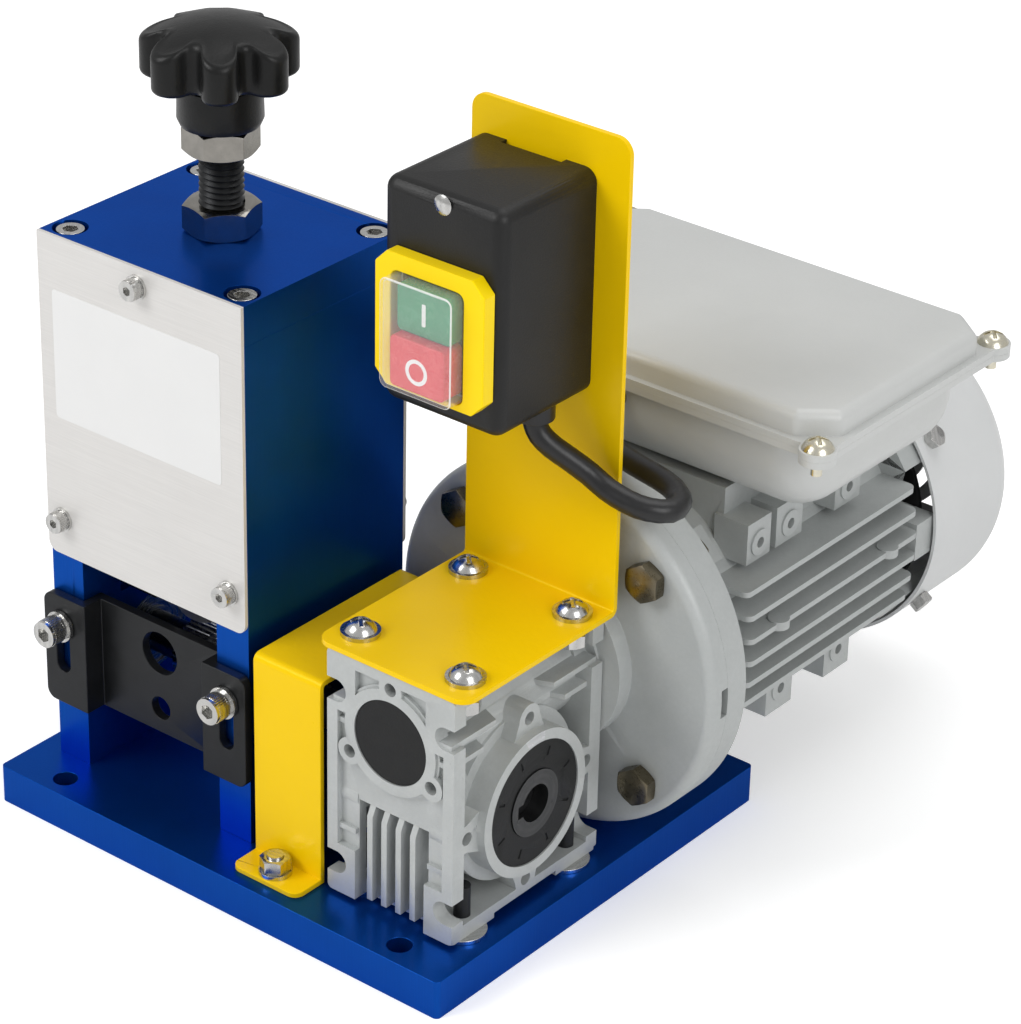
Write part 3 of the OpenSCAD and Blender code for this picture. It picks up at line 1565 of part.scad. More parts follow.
module lid_screws() {
  shank = 2 * lid_rim_t + mid_nut_h;
  color("#c2b27c") translate([gear_x, term_y, term_top + lid_rim_t])
    corners(lid_screw_x, lid_screw_y) pan_screw(small_d, shank);
}
module capacitor() {
  far = term_w / 2 - term_r - cap_gap;
  near = neck_hole / 2 + cap_gap;
  deep = term_d - 2 * (term_r + cap_gap);
  color("#2b2c2f") translate([gear_x - (far + near) / 2, term_y, term_z + term_wall + fit_gap])
    linear_extrude(term_h - term_wall - cap_room) round_rect(far - near, deep, cover_corner_r);
}

// Switch bracket and its screws
module switch_bracket() {
  low = gear_top_z;
  front = gear_front - bracket_front_edge;
  bend_y = plate_back - bend_r;
  flat_d = bend_y - front;
  plate_h = bracket_top - low - bend_r;
  color("#f2c40d") difference() {
    union() {
      extrude_z(low, low + sheet_t) translate([gear_x, front + flat_d / 2])
        rotate(180) translate([0, -flat_d / 2]) top_round(bracket_w, flat_d, bracket_corner);
      extrude_y(plate_face, plate_back) translate([gear_x, low + bend_r])
        top_round(bracket_w, plate_h, bracket_corner);
      translate([0, bend_y, low + bend_r]) extrude_x(gear_x - bracket_w / 2, gear_x + bracket_w / 2)
        intersection() {
          difference() {
            circle(r = bend_r);
            circle(r = bend_r - sheet_t);
          }
          translate([0, -bend_r]) square(bend_r);
        }
    }
    at_foot_bolts() hole_z(mid_hole_r, low, low + sheet_t);
    for (up = [-1, 1]) {
      hole_y(small_hole_r, plate_face, plate_back, switch_x, switch_z + switch_h / 2 + up *
        back_screw_step);
    }
  }
}
module bracket_screws() {
  under = gear_top_z - crown_t;
  shank = sheet_t + mid_washer_t + crown_t + mid_nut_h + over;
  color("#c9ccd0") at_foot_bolts() {
    translate([0, 0, bracket_z]) ring(bracket_washer_d / 2, mid_hole_r, mid_washer_t);
    translate([0, 0, bracket_z + mid_washer_t]) pan_screw(mid_d, shank);
    translate([0, 0, under - mid_nut_h]) difference() {
      hex_solid(mid_nut_w, mid_nut_h, nut_turn);
      hole_z(mid_hole_r, 0, mid_nut_h);
    }
  }
}

// Switch box and what it holds
module switch_box() {
  x = switch_w / 2 - switch_round;
  z = switch_h / 2 - switch_round;
  color("#1d1e20") translate([switch_x, 0, switch_z + switch_h / 2]) difference() {
    hull() {
      for (sx = [-1, 1], sz = [-1, 1]) {
        translate([sx * x, switch_front + switch_round, sz * z]) sphere(r = switch_round, $fn = 24);
        translate([sx * x, plate_face, sz * z]) front_facing()
          cylinder(r = switch_round, h = over, $fn = 24);
      }
    }
    block([switch_wall - switch_w / 2, switch_front + switch_wall, switch_wall - switch_h / 2],
      [switch_w / 2 - switch_wall, plate_face + over, switch_h / 2 - switch_wall]);
    extrude_y(switch_front - over, switch_front + switch_wall + over)
      translate([window_x - switch_x, window_up + window_h / 2 - switch_h / 2])
      square([window_width, window_h], center = true);
    for (sz = [-1, 1]) {
      block([-notch_w / 2, plate_face - notch_d, sz > 0 ? switch_h / 2 - notch_in
        : -switch_h / 2 - over], [notch_w / 2, plate_face + over,
        sz > 0 ? switch_h / 2 + over : notch_in - switch_h / 2]);
    }
    hole_y(small_hole_r, switch_front, switch_front + switch_wall, switch_screw_x - switch_x,
      switch_h / 2 - switch_screw_down);
    rod_z(gland_neck_r + fit_gap, -switch_h / 2 - over, over + switch_wall - switch_h / 2,
      cable_points[0][0] - switch_x, cable_points[0][1]);
  }
}
module switch_box_screw() {
  color("#c9ccd0") {
    translate([switch_screw_x, switch_front, switch_z + switch_h - switch_screw_down]) front_facing() {
        translate([0, 0, -switch_wall - over]) cylinder(d = small_d, h = switch_wall + over);
        dome(small_head_d, small_washer_t);
      }
    for (up = [-1, 1]) {
      translate([switch_x, plate_back, switch_z + switch_h / 2 + up * back_screw_step]) back_facing() {
          translate([0, 0, -sheet_t]) cylinder(d = small_d, h = sheet_t);
          dome(small_head_d, small_head_h);
        }
    }
  }
}
module bezel_outline() {
  x = bezel_w / 2;
  z = bezel_h / 2;
  polygon([[bezel_cut - x, -z], [x - bezel_cut, -z], [x, bezel_cut - z], [x, z - bezel_cut],
    [x - bezel_cut, z], [bezel_cut - x, z], [-x, z - bezel_cut], [-x, bezel_cut - z]]);
}
module switch_bezel() {
  color("#f2c40d") extrude_y(switch_front - bezel_d, switch_front) difference() {
    translate([bezel_x, switch_z + bezel_up + bezel_h / 2]) bezel_outline();
    translate([window_x, switch_z + window_up + window_h / 2])
      round_rect(window_width, window_h, boot_round);
  }
}
module button_boot() {
  front = switch_front - bezel_d - boot_out;
  w = window_width - 2 * boot_gap;
  h = window_h - 2 * boot_gap;
  color("#e8eef0", 0.35) translate([window_x, 0, switch_z + window_up + window_h / 2]) difference() {
      extrude_y(front, switch_front) round_rect(w, h, boot_round);
      extrude_y(front + boot_t, switch_front + over)
        round_rect(w - 2 * boot_t, h - 2 * boot_t, boot_round - boot_t);
    }
}
module contact_block() {
  start = switch_front + switch_wall;
  color("#2b2c2f") difference() {
    extrude_y(start, start + block_d) translate([window_x, switch_z + window_up + window_h / 2])
      round_rect(block_w, block_h, button_round);
    for (z = [stop_mid_z, start_mid_z]) {
      rod_y(stem_r + slide_gap, start - over, start + stem_l + stem_room, window_x, z);
    }
  }
}
module push_button(length, height, mid_z) {
  back = switch_front - button_seat;
  extrude_y(back - length, back) translate([window_x, mid_z]) round_rect(button_w, height, button_round);
  rod_y(stem_r, back - over, back + stem_l, window_x, mid_z);
}
module start_button() color("#1f9d55") push_button(start_l, start_h, start_mid_z);
module stop_button() color("#d4252a") push_button(stop_l, stop_h, stop_mid_z);

// Motor cable and glands
function lerp_point(a, b, c, d, t) = 0.5 * ((2 * b) + (c - a) * t
  + (2 * a - 5 * b + 4 * c - d) * t * t + (3 * b - a - 3 * c + d) * t * t * t);
function unit(v) = v / norm(v);
function cable_path() = let (p = cable_points, last = len(p) - 1)
  [for (i = [0:last - 1], k = [0:cable_steps - 1])
    lerp_point(p[max(i - 1, 0)], p[i], p[i + 1], p[min(i + 2, last)], k / cable_steps), p[last]];
module motor_cable() {
  path = cable_path();
  last = len(path) - 1;
  ends = [[0, 0, -1], [0, 1, 0]];
  way = [for (i = [0:last]) i == 0 ? ends[0] : i == last ? ends[1] : unit(path[i + 1] - path[i - 1])];
  side = [for (i = [0:last]) unit(cross(way[i], cable_side_shares[i < cable_steps * 2 ? 0 : 1]))];
  points = [for (i = [0:last], k = [0:cable_sides - 1])
    let (a = k * 360 / cable_sides, n = side[i], m = cross(way[i], side[i]))
    path[i] + cable_r * (n * cos(a) + m * sin(a))];
  n = cable_sides;
  walls = [for (i = [0:last - 1], k = [0:n - 1])
    [i * n + k, i * n + (k + 1) % n, (i + 1) * n + (k + 1) % n, (i + 1) * n + k]];
  color("#151617") polyhedron(points = points, faces = concat(
    [[for (k = [n - 1:-1:0]) k]], walls, [[for (k = [0:n - 1]) last * n + k]]));
}
module gland(nose_r, nose_l, wall, bore_r, bore_l) {
  difference() {
    union() {
      cylinder(r = nose_r, h = nose_l);
      translate([0, 0, -wall - gland_nut_l]) cylinder(r = gland_neck_r, h = wall + gland_nut_l + over);
    }
    translate([0, 0, nose_l - bore_l]) cylinder(r = bore_r, h = bore_l + over);
  }
}
module cable_glands() {
  first = cable_points[0];
  bore = cable_r + fit_gap;
  color("#1b1c1e") {
    translate([first[0], first[1], switch_z]) mirror([0, 0, 1])
      gland(gland_r, gland_l, switch_wall, bore, gland_l - gland_stop);
    translate([gear_x + term_gland_x, term_y - term_d / 2, term_z + gland_up]) front_facing()
      gland(term_gland_r, gland_l, term_wall, bore, gland_l - gland_stop);
    translate([gear_x + mains_gland_x, term_y + term_d / 2, term_z + mains_gland_up])
      back_facing() gland(mains_gland_r, mains_gland_l, term_wall, mains_bore_r, mains_gland_l - gland_l);
  }
}

base_plate();
head_side_left();
head_side_right();
head_top();
head_screws();
front_cover();
back_cover();
cover_screws();
guide_screws();
lock_nut();
ball_bearings();
shaft_cover();
shaft_cover_nuts();
gearbox_housing();
worm_cap();
output_seals();
gearbox_bolts();
foot_washers();
input_flange();
flange_bolts();
switch_bracket();
bracket_screws();
switch_box();
switch_box_screw();
switch_bezel();
button_boot();
contact_block();
motor_cable();
cable_glands();
motor_flange();
stator_housing();
stator_core();
rear_end_shield();
fan_cowl();
cowl_screws();
terminal_box();
terminal_lid();
lid_screws();
capacitor();
wire_guide();
blade_carriage();
retaining_plate();
retaining_screws();
blade();
blade_shaft();
blade_nut();
blade_bearings();
tension_screw();
star_knob();
knob_collar();
worm_wheel();
output_hub();
feed_shaft();
drive_key();
feed_roller();
rotor();
worm();
fan();
start_button();
stop_button();
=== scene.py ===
"""Electric wire stripping machine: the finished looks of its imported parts."""

import json
import logging
import math
from dataclasses import dataclass, field
from enum import Enum
from typing import Callable, Iterable, Sequence

import bmesh
import bpy
from mathutils import Matrix, Vector

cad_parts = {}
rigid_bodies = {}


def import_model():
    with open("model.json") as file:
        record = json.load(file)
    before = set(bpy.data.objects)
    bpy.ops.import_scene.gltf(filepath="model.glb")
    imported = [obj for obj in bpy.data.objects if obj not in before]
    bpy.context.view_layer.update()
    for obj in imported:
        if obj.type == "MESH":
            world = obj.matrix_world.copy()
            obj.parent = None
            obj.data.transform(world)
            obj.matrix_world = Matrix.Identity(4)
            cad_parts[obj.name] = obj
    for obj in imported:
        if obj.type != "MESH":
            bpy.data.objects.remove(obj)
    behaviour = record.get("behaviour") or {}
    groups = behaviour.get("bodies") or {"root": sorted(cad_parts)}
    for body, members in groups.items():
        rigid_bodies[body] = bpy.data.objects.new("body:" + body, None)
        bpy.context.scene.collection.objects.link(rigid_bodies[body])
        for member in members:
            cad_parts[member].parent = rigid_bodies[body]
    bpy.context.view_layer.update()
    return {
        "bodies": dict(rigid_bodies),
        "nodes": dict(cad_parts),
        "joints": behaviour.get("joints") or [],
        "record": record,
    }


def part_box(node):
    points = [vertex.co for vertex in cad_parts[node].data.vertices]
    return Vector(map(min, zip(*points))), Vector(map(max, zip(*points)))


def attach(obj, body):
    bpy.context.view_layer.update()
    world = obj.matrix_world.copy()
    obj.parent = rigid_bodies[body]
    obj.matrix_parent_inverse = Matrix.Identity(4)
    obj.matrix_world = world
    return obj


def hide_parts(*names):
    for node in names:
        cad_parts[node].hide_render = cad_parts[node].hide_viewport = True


LOG = logging.getLogger("wire_stripper")
MERGE_WITHIN = 2e-6
FLAT_ANGLE = math.radians(0.4)
SHARP_ANGLE = math.radians(35)
THREAD_SHARP_ANGLE = math.radians(30)
SPECK_SCALE = 260.0
COAT_ROUGHNESS = 0.12
Colour = tuple[float, float, float]
Triple = tuple[float, float, float]


class Grain(Enum):
    """The fine structure of a finish."""

    SMOOTH = "smooth"
    PAINT = "paint"
    CAST = "cast"
    BRUSHED = "brushed"
    TURNED = "turned"
    MOULDED = "moulded"


class Axis(Enum):
    """A direction of the part's frame, by its index."""

    X = 0
    Y = 1
    Z = 2


class Graph:
    """Adds nodes to a node tree and joins their sockets."""

    def __init__(self, tree: bpy.types.NodeTree) -> None:
        """Starts an empty graph.

        Args:
            tree: The tree to fill; its nodes are cleared.
        """
        self.tree = tree
        tree.nodes.clear()

    def add(self, kind: str, sockets: dict[str | int, object] | None = None,
            **settings: object) -> bpy.types.Node:
        """Adds a node.

        Args:
            kind: The node's type name.
            sockets: Input sockets by name or number, each a value or an output socket.
            settings: Properties of the node itself.

        Returns:
            The new node.
        """
        node = self.tree.nodes.new(kind)
        for key, value in settings.items():
            setattr(node, key, value)
        for key, value in (sockets or {}).items():
            if isinstance(value, bpy.types.NodeSocket):
                self.tree.links.new(value, node.inputs[key])
            else:
                node.inputs[key].default_value = value
        return node

    def maths(self, operation: str, a: object, b: object = 0.0) -> bpy.types.NodeSocket:
        """Adds a Math node.

        Args:
            operation: The operation's name.
            a: First value or socket.
            b: Second value or socket.

        Returns:
            The result's socket.
        """
        return self.add("ShaderNodeMath", {0: a, 1: b}, operation=operation).outputs[0]


@dataclass(frozen=True)
class Finish:
    """A procedural surface finish.

    Colours are linear; lengths are metres.
    """

    slot: str
    colour: Colour
    shade: Colour
    grain: Grain = Grain.SMOOTH
    metallic: float = 0.0
    roughness: tuple[float, float] = (0.35, 0.45)
    mottle: float = 0.02
    relief: float = 0.2
    fineness: float = 0.0008
    along: Axis = Axis.Z
    centre: Triple = (0.0, 0.0, 0.0)
    coat: float = 0.0
    gloss: float = 0.5
    tint: Colour = (1.0, 1.0, 1.0)
    cover: float = 1.0
    specks: float = 0.0

    def material(self, name: str) -> bpy.types.Material:
        """Builds the material or gives the one already built.

        Args:
            name: The material's name.

        Returns:
            The material.
        """
        made = bpy.data.materials.get(name)
        if made:
            return made
        made = bpy.data.materials.new(name)
        made.use_nodes = True
        graph = Graph(made.node_tree)
        place = graph.add("ShaderNodeTexCoord").outputs["Object"]
        mottle = graph.add("ShaderNodeTexNoise", {
            "Vector": place, "Scale": 1.0 / self.mottle, "Detail": 4.0, "Roughness": 0.6})
        fine = self._fine(graph, place)
        mixed = graph.add("ShaderNodeMapRange", {
            "Value": mottle.outputs["Fac"], "From Min": 0.3, "From Max": 0.7}).outputs[0]
        colour = graph.add("ShaderNodeMix", {
            "Factor": mixed, "A": (*self.colour, 1.0), "B": (*self.shade, 1.0)},
            data_type="RGBA")
        colour_out = colour.outputs["Result"]
        if self.grain in (Grain.BRUSHED, Grain.TURNED, Grain.CAST):
            darker = tuple(c * (0.78 if self.grain is Grain.CAST else 0.7) for c in self.shade)
            colour_out = graph.add("ShaderNodeMix", {
                "Factor": graph.maths("MULTIPLY", fine, 0.55), "A": colour_out,
                "B": (*darker, 1.0)}, data_type="RGBA").outputs["Result"]
        if self.specks:
            spots = graph.add("ShaderNodeTexNoise", {
                "Vector": place, "Scale": SPECK_SCALE, "Detail": 6.0, "Roughness": 0.75})
            mask = graph.add("ShaderNodeMapRange", {
                "Value": spots.outputs["Fac"], "From Min": 0.66, "From Max": 0.72,
                "To Max": self.specks}).outputs[0]
            colour_out = graph.add("ShaderNodeMix", {
                "Factor": mask, "A": colour_out,
                "B": (*(0.5 * c for c in self.colour), 1.0)}, data_type="RGBA").outputs["Result"]
        rough = graph.add("ShaderNodeMapRange", {
            "Value": graph.maths("ADD", graph.maths("MULTIPLY", fine, 0.5),
                                 graph.maths("MULTIPLY", mottle.outputs["Fac"], 0.5)),
            "From Min": 0.25, "From Max": 0.75, "To Min": self.roughness[0],
            "To Max": self.roughness[1]}).outputs[0]
        bump = graph.add("ShaderNodeBump", {
            "Strength": self.relief, "Distance": self.fineness * 0.35, "Height": fine})
        skin = graph.add("ShaderNodeBsdfPrincipled", {
            "Base Color": colour_out, "Roughness": rough, "Metallic": self.metallic,
            "Normal": bump.outputs[0]})
        skin.inputs["Coat Weight"].default_value = self.coat
        skin.inputs["Coat Roughness"].default_value = COAT_ROUGHNESS
        skin.inputs["Specular IOR Level"].default_value = self.gloss
        skin.inputs["Specular Tint"].default_value = (*self.tint, 1.0)
        skin.inputs["Alpha"].default_value = self.cover
        graph.add("ShaderNodeOutputMaterial", {"Surface": skin.outputs[0]})
        made.diffuse_color = (*self.colour, 1.0)
        return made

    def _fine(self, graph: Graph, place: bpy.types.NodeSocket) -> bpy.types.NodeSocket:
        """Adds the finish's fine pattern.

        Args:
            graph: The material's graph.
            place: The object coordinates.

        Returns:
            A socket from 0 to 1.
        """
        scale = 1.0 / self.fineness
        if self.grain is Grain.BRUSHED:
            stretch = [1.0, 1.0, 1.0]
            stretch[self.along.value] = 0.02
            moved = graph.add("ShaderNodeMapping", {"Vector": place, "Scale": stretch})
            noise = graph.add("ShaderNodeTexNoise", {
                "Vector": moved.outputs[0], "Scale": scale, "Detail": 3.0, "Roughness": 0.7})
            return noise.outputs["Fac"]
        if self.grain is Grain.TURNED:
            moved = graph.add("ShaderNodeMapping", {
                "Vector": place, "Location": [-c for c in self.centre]})
            wave = graph.add("ShaderNodeTexWave", {
                "Vector": moved.outputs[0], "Scale": scale * 0.05, "Distortion": 1.5,
                "Detail": 3.0, "Detail Scale": 3.0},
                wave_type="RINGS", rings_direction=self.along.name)
            noise = graph.add("ShaderNodeTexNoise", {
                "Vector": place, "Scale": scale, "Detail": 3.0})
            return graph.maths("ADD", graph.maths("MULTIPLY", wave.outputs["Fac"], 0.6),
                               graph.maths("MULTIPLY", noise.outputs["Fac"], 0.4))
        if self.grain is Grain.CAST:
            pits = graph.add("ShaderNodeTexVoronoi", {
                "Vector": place, "Scale": scale * 0.6, "Randomness": 1.0})
            noise = graph.add("ShaderNodeTexNoise", {
                "Vector": place, "Scale": scale, "Detail": 5.0, "Roughness": 0.7})
            return graph.maths("ADD", graph.maths("MULTIPLY", pits.outputs["Distance"], 0.35),
                               graph.maths("MULTIPLY", noise.outputs["Fac"], 0.65))
        detail = 2.0 if self.grain is Grain.PAINT else 4.0
        noise = graph.add("ShaderNodeTexNoise", {
            "Vector": place, "Scale": scale, "Detail": detail, "Roughness": 0.55})
        return noise.outputs["Fac"]


BLUE = Finish("blue_paint", (0.002, 0.062, 0.36), (0.003, 0.076, 0.42), Grain.BRUSHED,
              metallic=0.86, roughness=(0.28, 0.42), mottle=0.03, relief=0.12,
              fineness=0.0006, along=Axis.Z, coat=0.05, gloss=0.3, tint=(0.35, 0.55, 1.0))
YELLOW = Finish("yellow_paint", (0.89, 0.575, 0.001), (0.92, 0.60, 0.002), Grain.PAINT,
                roughness=(0.26, 0.34), mottle=0.05, relief=0.10, fineness=0.0022,
                coat=0.03, gloss=0.4, tint=(1.0, 0.78, 0.10))
SHEET = Finish("cover_sheet", (0.72, 0.705, 0.685), (0.76, 0.745, 0.725), Grain.BRUSHED,
               metallic=0.35, roughness=(0.36, 0.5), mottle=0.04, relief=0.08,
               fineness=0.0005, along=Axis.X)
GEAR_CAST = Finish("cast_grey", (0.46, 0.48, 0.475), (0.54, 0.56, 0.555), Grain.CAST,
                   metallic=0.30, roughness=(0.40, 0.56), mottle=0.012, relief=0.35,
                   fineness=0.0009, specks=0.3)
MACHINED = Finish("cast_grey", (0.72, 0.73, 0.74), (0.64, 0.65, 0.66), Grain.TURNED,
                  metallic=0.9, roughness=(0.24, 0.38), mottle=0.01, relief=0.2,
                  fineness=0.0004, along=Axis.X, centre=(0.0676, -0.0327, 0.0566))
MOTOR_CAST = Finish("motor_grey", (0.42, 0.44, 0.435), (0.47, 0.49, 0.485), Grain.CAST,
                    metallic=0.1, roughness=(0.38, 0.52), mottle=0.02, relief=0.30,
                    fineness=0.0011, coat=0.05)
BOX_PAINT = Finish("motor_grey", (0.53, 0.54, 0.53), (0.56, 0.57, 0.56), Grain.PAINT,
                   roughness=(0.30, 0.40), mottle=0.05, relief=0.16, fineness=0.0016,
                   coat=0.1)
COWL_PAINT = Finish("cowl_grey", (0.60, 0.61, 0.61), (0.64, 0.65, 0.65), Grain.PAINT,
                    roughness=(0.30, 0.40), mottle=0.05, relief=0.08, fineness=0.0018,
                    coat=0.15)
BLACK_STEEL = Finish("black_steel", (0.012, 0.013, 0.014), (0.020, 0.021, 0.023),
                     Grain.BRUSHED, metallic=0.5, roughness=(0.28, 0.44), mottle=0.008,
                     relief=0.12, fineness=0.0005, along=Axis.X, gloss=0.35)
ZINC = Finish("zinc", (0.66, 0.65, 0.63), (0.54, 0.54, 0.53), Grain.TURNED, metallic=1.0,
              roughness=(0.14, 0.30), mottle=0.004, relief=0.15, fineness=0.0003)
NUT_STEEL = Finish("zinc", (0.30, 0.285, 0.26), (0.23, 0.22, 0.20), Grain.SMOOTH, metallic=1.0,
                   roughness=(0.12, 0.24), mottle=0.006, relief=0.06, fineness=0.0006)
BRASS_ZINC = Finish("yellow_zinc", (0.13, 0.11, 0.070), (0.19, 0.165, 0.12), Grain.SMOOTH,
                    metallic=1.0, roughness=(0.22, 0.38), mottle=0.004, relief=0.12,
                    fineness=0.0005)
PALE_ZINC = Finish("yellow_zinc", (0.74, 0.69, 0.54), (0.62, 0.60, 0.52), Grain.SMOOTH,
                   metallic=1.0, roughness=(0.18, 0.32), mottle=0.003, relief=0.10,
                   fineness=0.0004)
STEEL = Finish("steel", (0.46, 0.47, 0.48), (0.40, 0.41, 0.42), Grain.TURNED, metallic=1.0,
               roughness=(0.20, 0.34), mottle=0.006, relief=0.15, fineness=0.0004,
               along=Axis.X, centre=(0.0, -0.0327, 0.0566))
DARK_STEEL = Finish("steel", (0.060, 0.061, 0.063), (0.085, 0.086, 0.088), Grain.TURNED,
                    metallic=0.9, roughness=(0.26, 0.42), mottle=0.004, relief=0.12,
                    fineness=0.0004, along=Axis.X, centre=(0.0, -0.0327, 0.0566))
BLADE_STEEL = Finish("blade_steel", (0.58, 0.57, 0.56), (0.50, 0.49, 0.48), Grain.TURNED,
                     metallic=1.0, roughness=(0.14, 0.28), mottle=0.006, relief=0.2,
                     fineness=0.0003, along=Axis.X, centre=(0.0, -0.0278, 0.10234))
KNOB_BLACK = Finish("knob_plastic", (0.006, 0.0062, 0.0062), (0.010, 0.0102, 0.0102),
                    Grain.MOULDED, roughness=(0.28, 0.40), mottle=0.012, relief=0.22,
                    fineness=0.0009, gloss=0.22)
SWITCH_BLACK = Finish("switch_plastic", (0.006, 0.006, 0.006), (0.010, 0.010, 0.010),
                      Grain.MOULDED, roughness=(0.34, 0.48), mottle=0.02, relief=0.35,
                      fineness=0.0007, gloss=0.32)
YELLOW_GLOSS = Finish("yellow_plastic", (0.97, 0.68, 0.001), (0.98, 0.71, 0.002),
                      Grain.MOULDED, roughness=(0.20, 0.28), mottle=0.02, relief=0.05,
                      fineness=0.0012, tint=(1.0, 0.82, 0.2))
CLEAR = Finish("clear_boot", (0.80, 0.82, 0.83), (0.86, 0.87, 0.88), Grain.MOULDED,
               roughness=(0.06, 0.14), mottle=0.01, relief=0.05, fineness=0.002, coat=0.3,
               cover=0.12)
# Whiter, more opaque finish on the boot's broken edges: a painted highlight along the clear
# plastic's edges.
CLEAR_EDGE_HIGHLIGHT = Finish("clear_boot", (0.86, 0.87, 0.87), (0.92, 0.93, 0.93), Grain.MOULDED,
                   roughness=(0.06, 0.14), mottle=0.01, relief=0.05, fineness=0.002,
                   coat=0.5, cover=0.62)
GREEN = Finish("green_plastic", (0.008, 0.26, 0.10), (0.012, 0.30, 0.12), Grain.MOULDED,
               roughness=(0.22, 0.32), mottle=0.01, relief=0.06, fineness=0.001)
RED = Finish("red_plastic", (0.74, 0.012, 0.025), (0.78, 0.02, 0.035), Grain.MOULDED,
             roughness=(0.22, 0.32), mottle=0.01, relief=0.06, fineness=0.001)
CABLE_BLACK = Finish("cable_rubber", (0.010, 0.010, 0.011), (0.015, 0.015, 0.016),
                     Grain.MOULDED, roughness=(0.28, 0.40), mottle=0.01, relief=0.14,
                     fineness=0.0012, gloss=0.4)
SEAL_BLACK = Finish("seal_rubber", (0.007, 0.0075, 0.008), (0.011, 0.0115, 0.012),
                    Grain.MOULDED, roughness=(0.40, 0.55), mottle=0.006, relief=0.2,
                    fineness=0.0008, gloss=0.25)
BRONZE = Finish("bronze", (0.56, 0.36, 0.13), (0.48, 0.30, 0.11), Grain.TURNED,
                metallic=1.0, roughness=(0.24, 0.36), mottle=0.006, relief=0.15,
                fineness=0.0004, along=Axis.X, centre=(0.0, -0.0327, 0.0566))
COPPER = Finish("winding", (0.42, 0.16, 0.05), (0.30, 0.10, 0.03), Grain.BRUSHED,
                metallic=0.8, roughness=(0.28, 0.45), mottle=0.004, relief=0.4,
                fineness=0.0006, along=Axis.Y)
LABEL = Finish("cover_sheet", (0.74, 0.74, 0.735), (0.76, 0.76, 0.755), Grain.PAINT,
               roughness=(0.28, 0.36), mottle=0.03, relief=0.05, fineness=0.002, coat=0.2)
MARK_WHITE = Finish("zinc", (0.90, 0.90, 0.89), (0.92, 0.92, 0.91), Grain.PAINT,
                    roughness=(0.3, 0.4), mottle=0.01, relief=0.04, fineness=0.001)


class Workshop:
    """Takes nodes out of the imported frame, finishes them and places new pieces."""

    def __init__(self, frame: dict) -> None:
        """Keeps the frame.
        """
        self.nodes: dict[str, bpy.types.Object] = frame["nodes"]
        self.body_of: dict[str, str] = {
            node: body
            for body, names in frame["record"]["behaviour"]["bodies"].items()
            for node in names
        }

    def merged(self, node: str) -> bpy.types.Mesh:
        """Gives a copy of a node's mesh with its doubles merged and flat faces joined.

        Args:
            node: The node's name.

        Returns:
            The new mesh.
        """
        mesh = self.nodes[node].data.copy()
        work = bmesh.new()
        work.from_mesh(mesh)
        bmesh.ops.remove_doubles(work, verts=work.verts, dist=MERGE_WITHIN)
        bmesh.ops.dissolve_limit(work, angle_limit=FLAT_ANGLE, verts=work.verts,
                                 edges=work.edges)
        work.to_mesh(mesh)
        work.free()
        return mesh

    def place(self, mesh: bpy.types.Mesh, name: str, body: str,
              finishes: Sequence[tuple[str, Finish]],
              stands_for: Iterable[str] = ()) -> bpy.types.Object:
        """Puts a finished mesh on a body.

        Args:
            mesh: The mesh, in the part's frame.
            name: The piece's name.
            body: The body that it rides on.
            finishes: Material names and finishes, in the order of the mesh's slots.
            stands_for: Nodes that it replaces.

        Returns:
            The new object.
        """
        piece = bpy.data.objects.new(name, mesh)
        bpy.context.scene.collection.objects.link(piece)
        mesh.materials.clear()
        for material_name, finish in finishes:
            mesh.materials.append(finish.material(material_name))
        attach(piece, body)
        for node in stands_for:
            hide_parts(node)
        LOG.info("%s: %d faces on %s", name, len(mesh.polygons), body)
        return piece

    def rounded(self, node: str, material: str, finish: Finish, radius: float = 0.0004,
                smooth: float = 32.0, second: tuple[str, Finish] | None = None,
                pick: Callable[[bpy.types.MeshPolygon], bool] | None = None,
                ) -> bpy.types.Object:
        """Stands in for a node with the same shape, its sharp edges broken.

        Args:
            node: The node's name.
            material: The material's name.
            finish: The finish.
            radius: Size of the broken edge; 0 leaves edges sharp.
            smooth: Angle in degrees up to which faces are shaded as one.
            second: A second material name and finish.
            pick: Tells which faces take the second finish.

        Returns:
            The piece.
        """
        mesh = self.merged(node)
        mesh.shade_smooth()
        mesh.set_sharp_from_angle(angle=math.radians(smooth))
        finishes = [(material, finish)]
        if second:
            finishes.append(second)
        piece = self.place(mesh, node + "_finished", self.body_of[node], finishes, (node,))
        if second:
            for face in mesh.polygons:
                face.material_index = 1 if pick and pick(face) else 0
        if radius:
            edge = piece.modifiers.new("broken_edges", "BEVEL")
            edge.width = radius
            edge.segments = 2
            edge.limit_method = "ANGLE"
            edge.angle_limit = math.radians(smooth)
            edge.use_clamp_overlap = True
            edge.harden_normals = True
            edge.miter_outer = "MITER_ARC"
        return piece

    def dress(self, material: str, finish: Finish, *names: str) -> None:
        """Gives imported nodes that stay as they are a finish.

        Args:
            material: The material's name.
            finish: The finish.
            names: The nodes.
        """
        for name in names:
            mesh = self.nodes[name].data
            mesh.materials.clear()
            mesh.materials.append(finish.material(material))
            LOG.info("%s: dressed as %s", name, material)


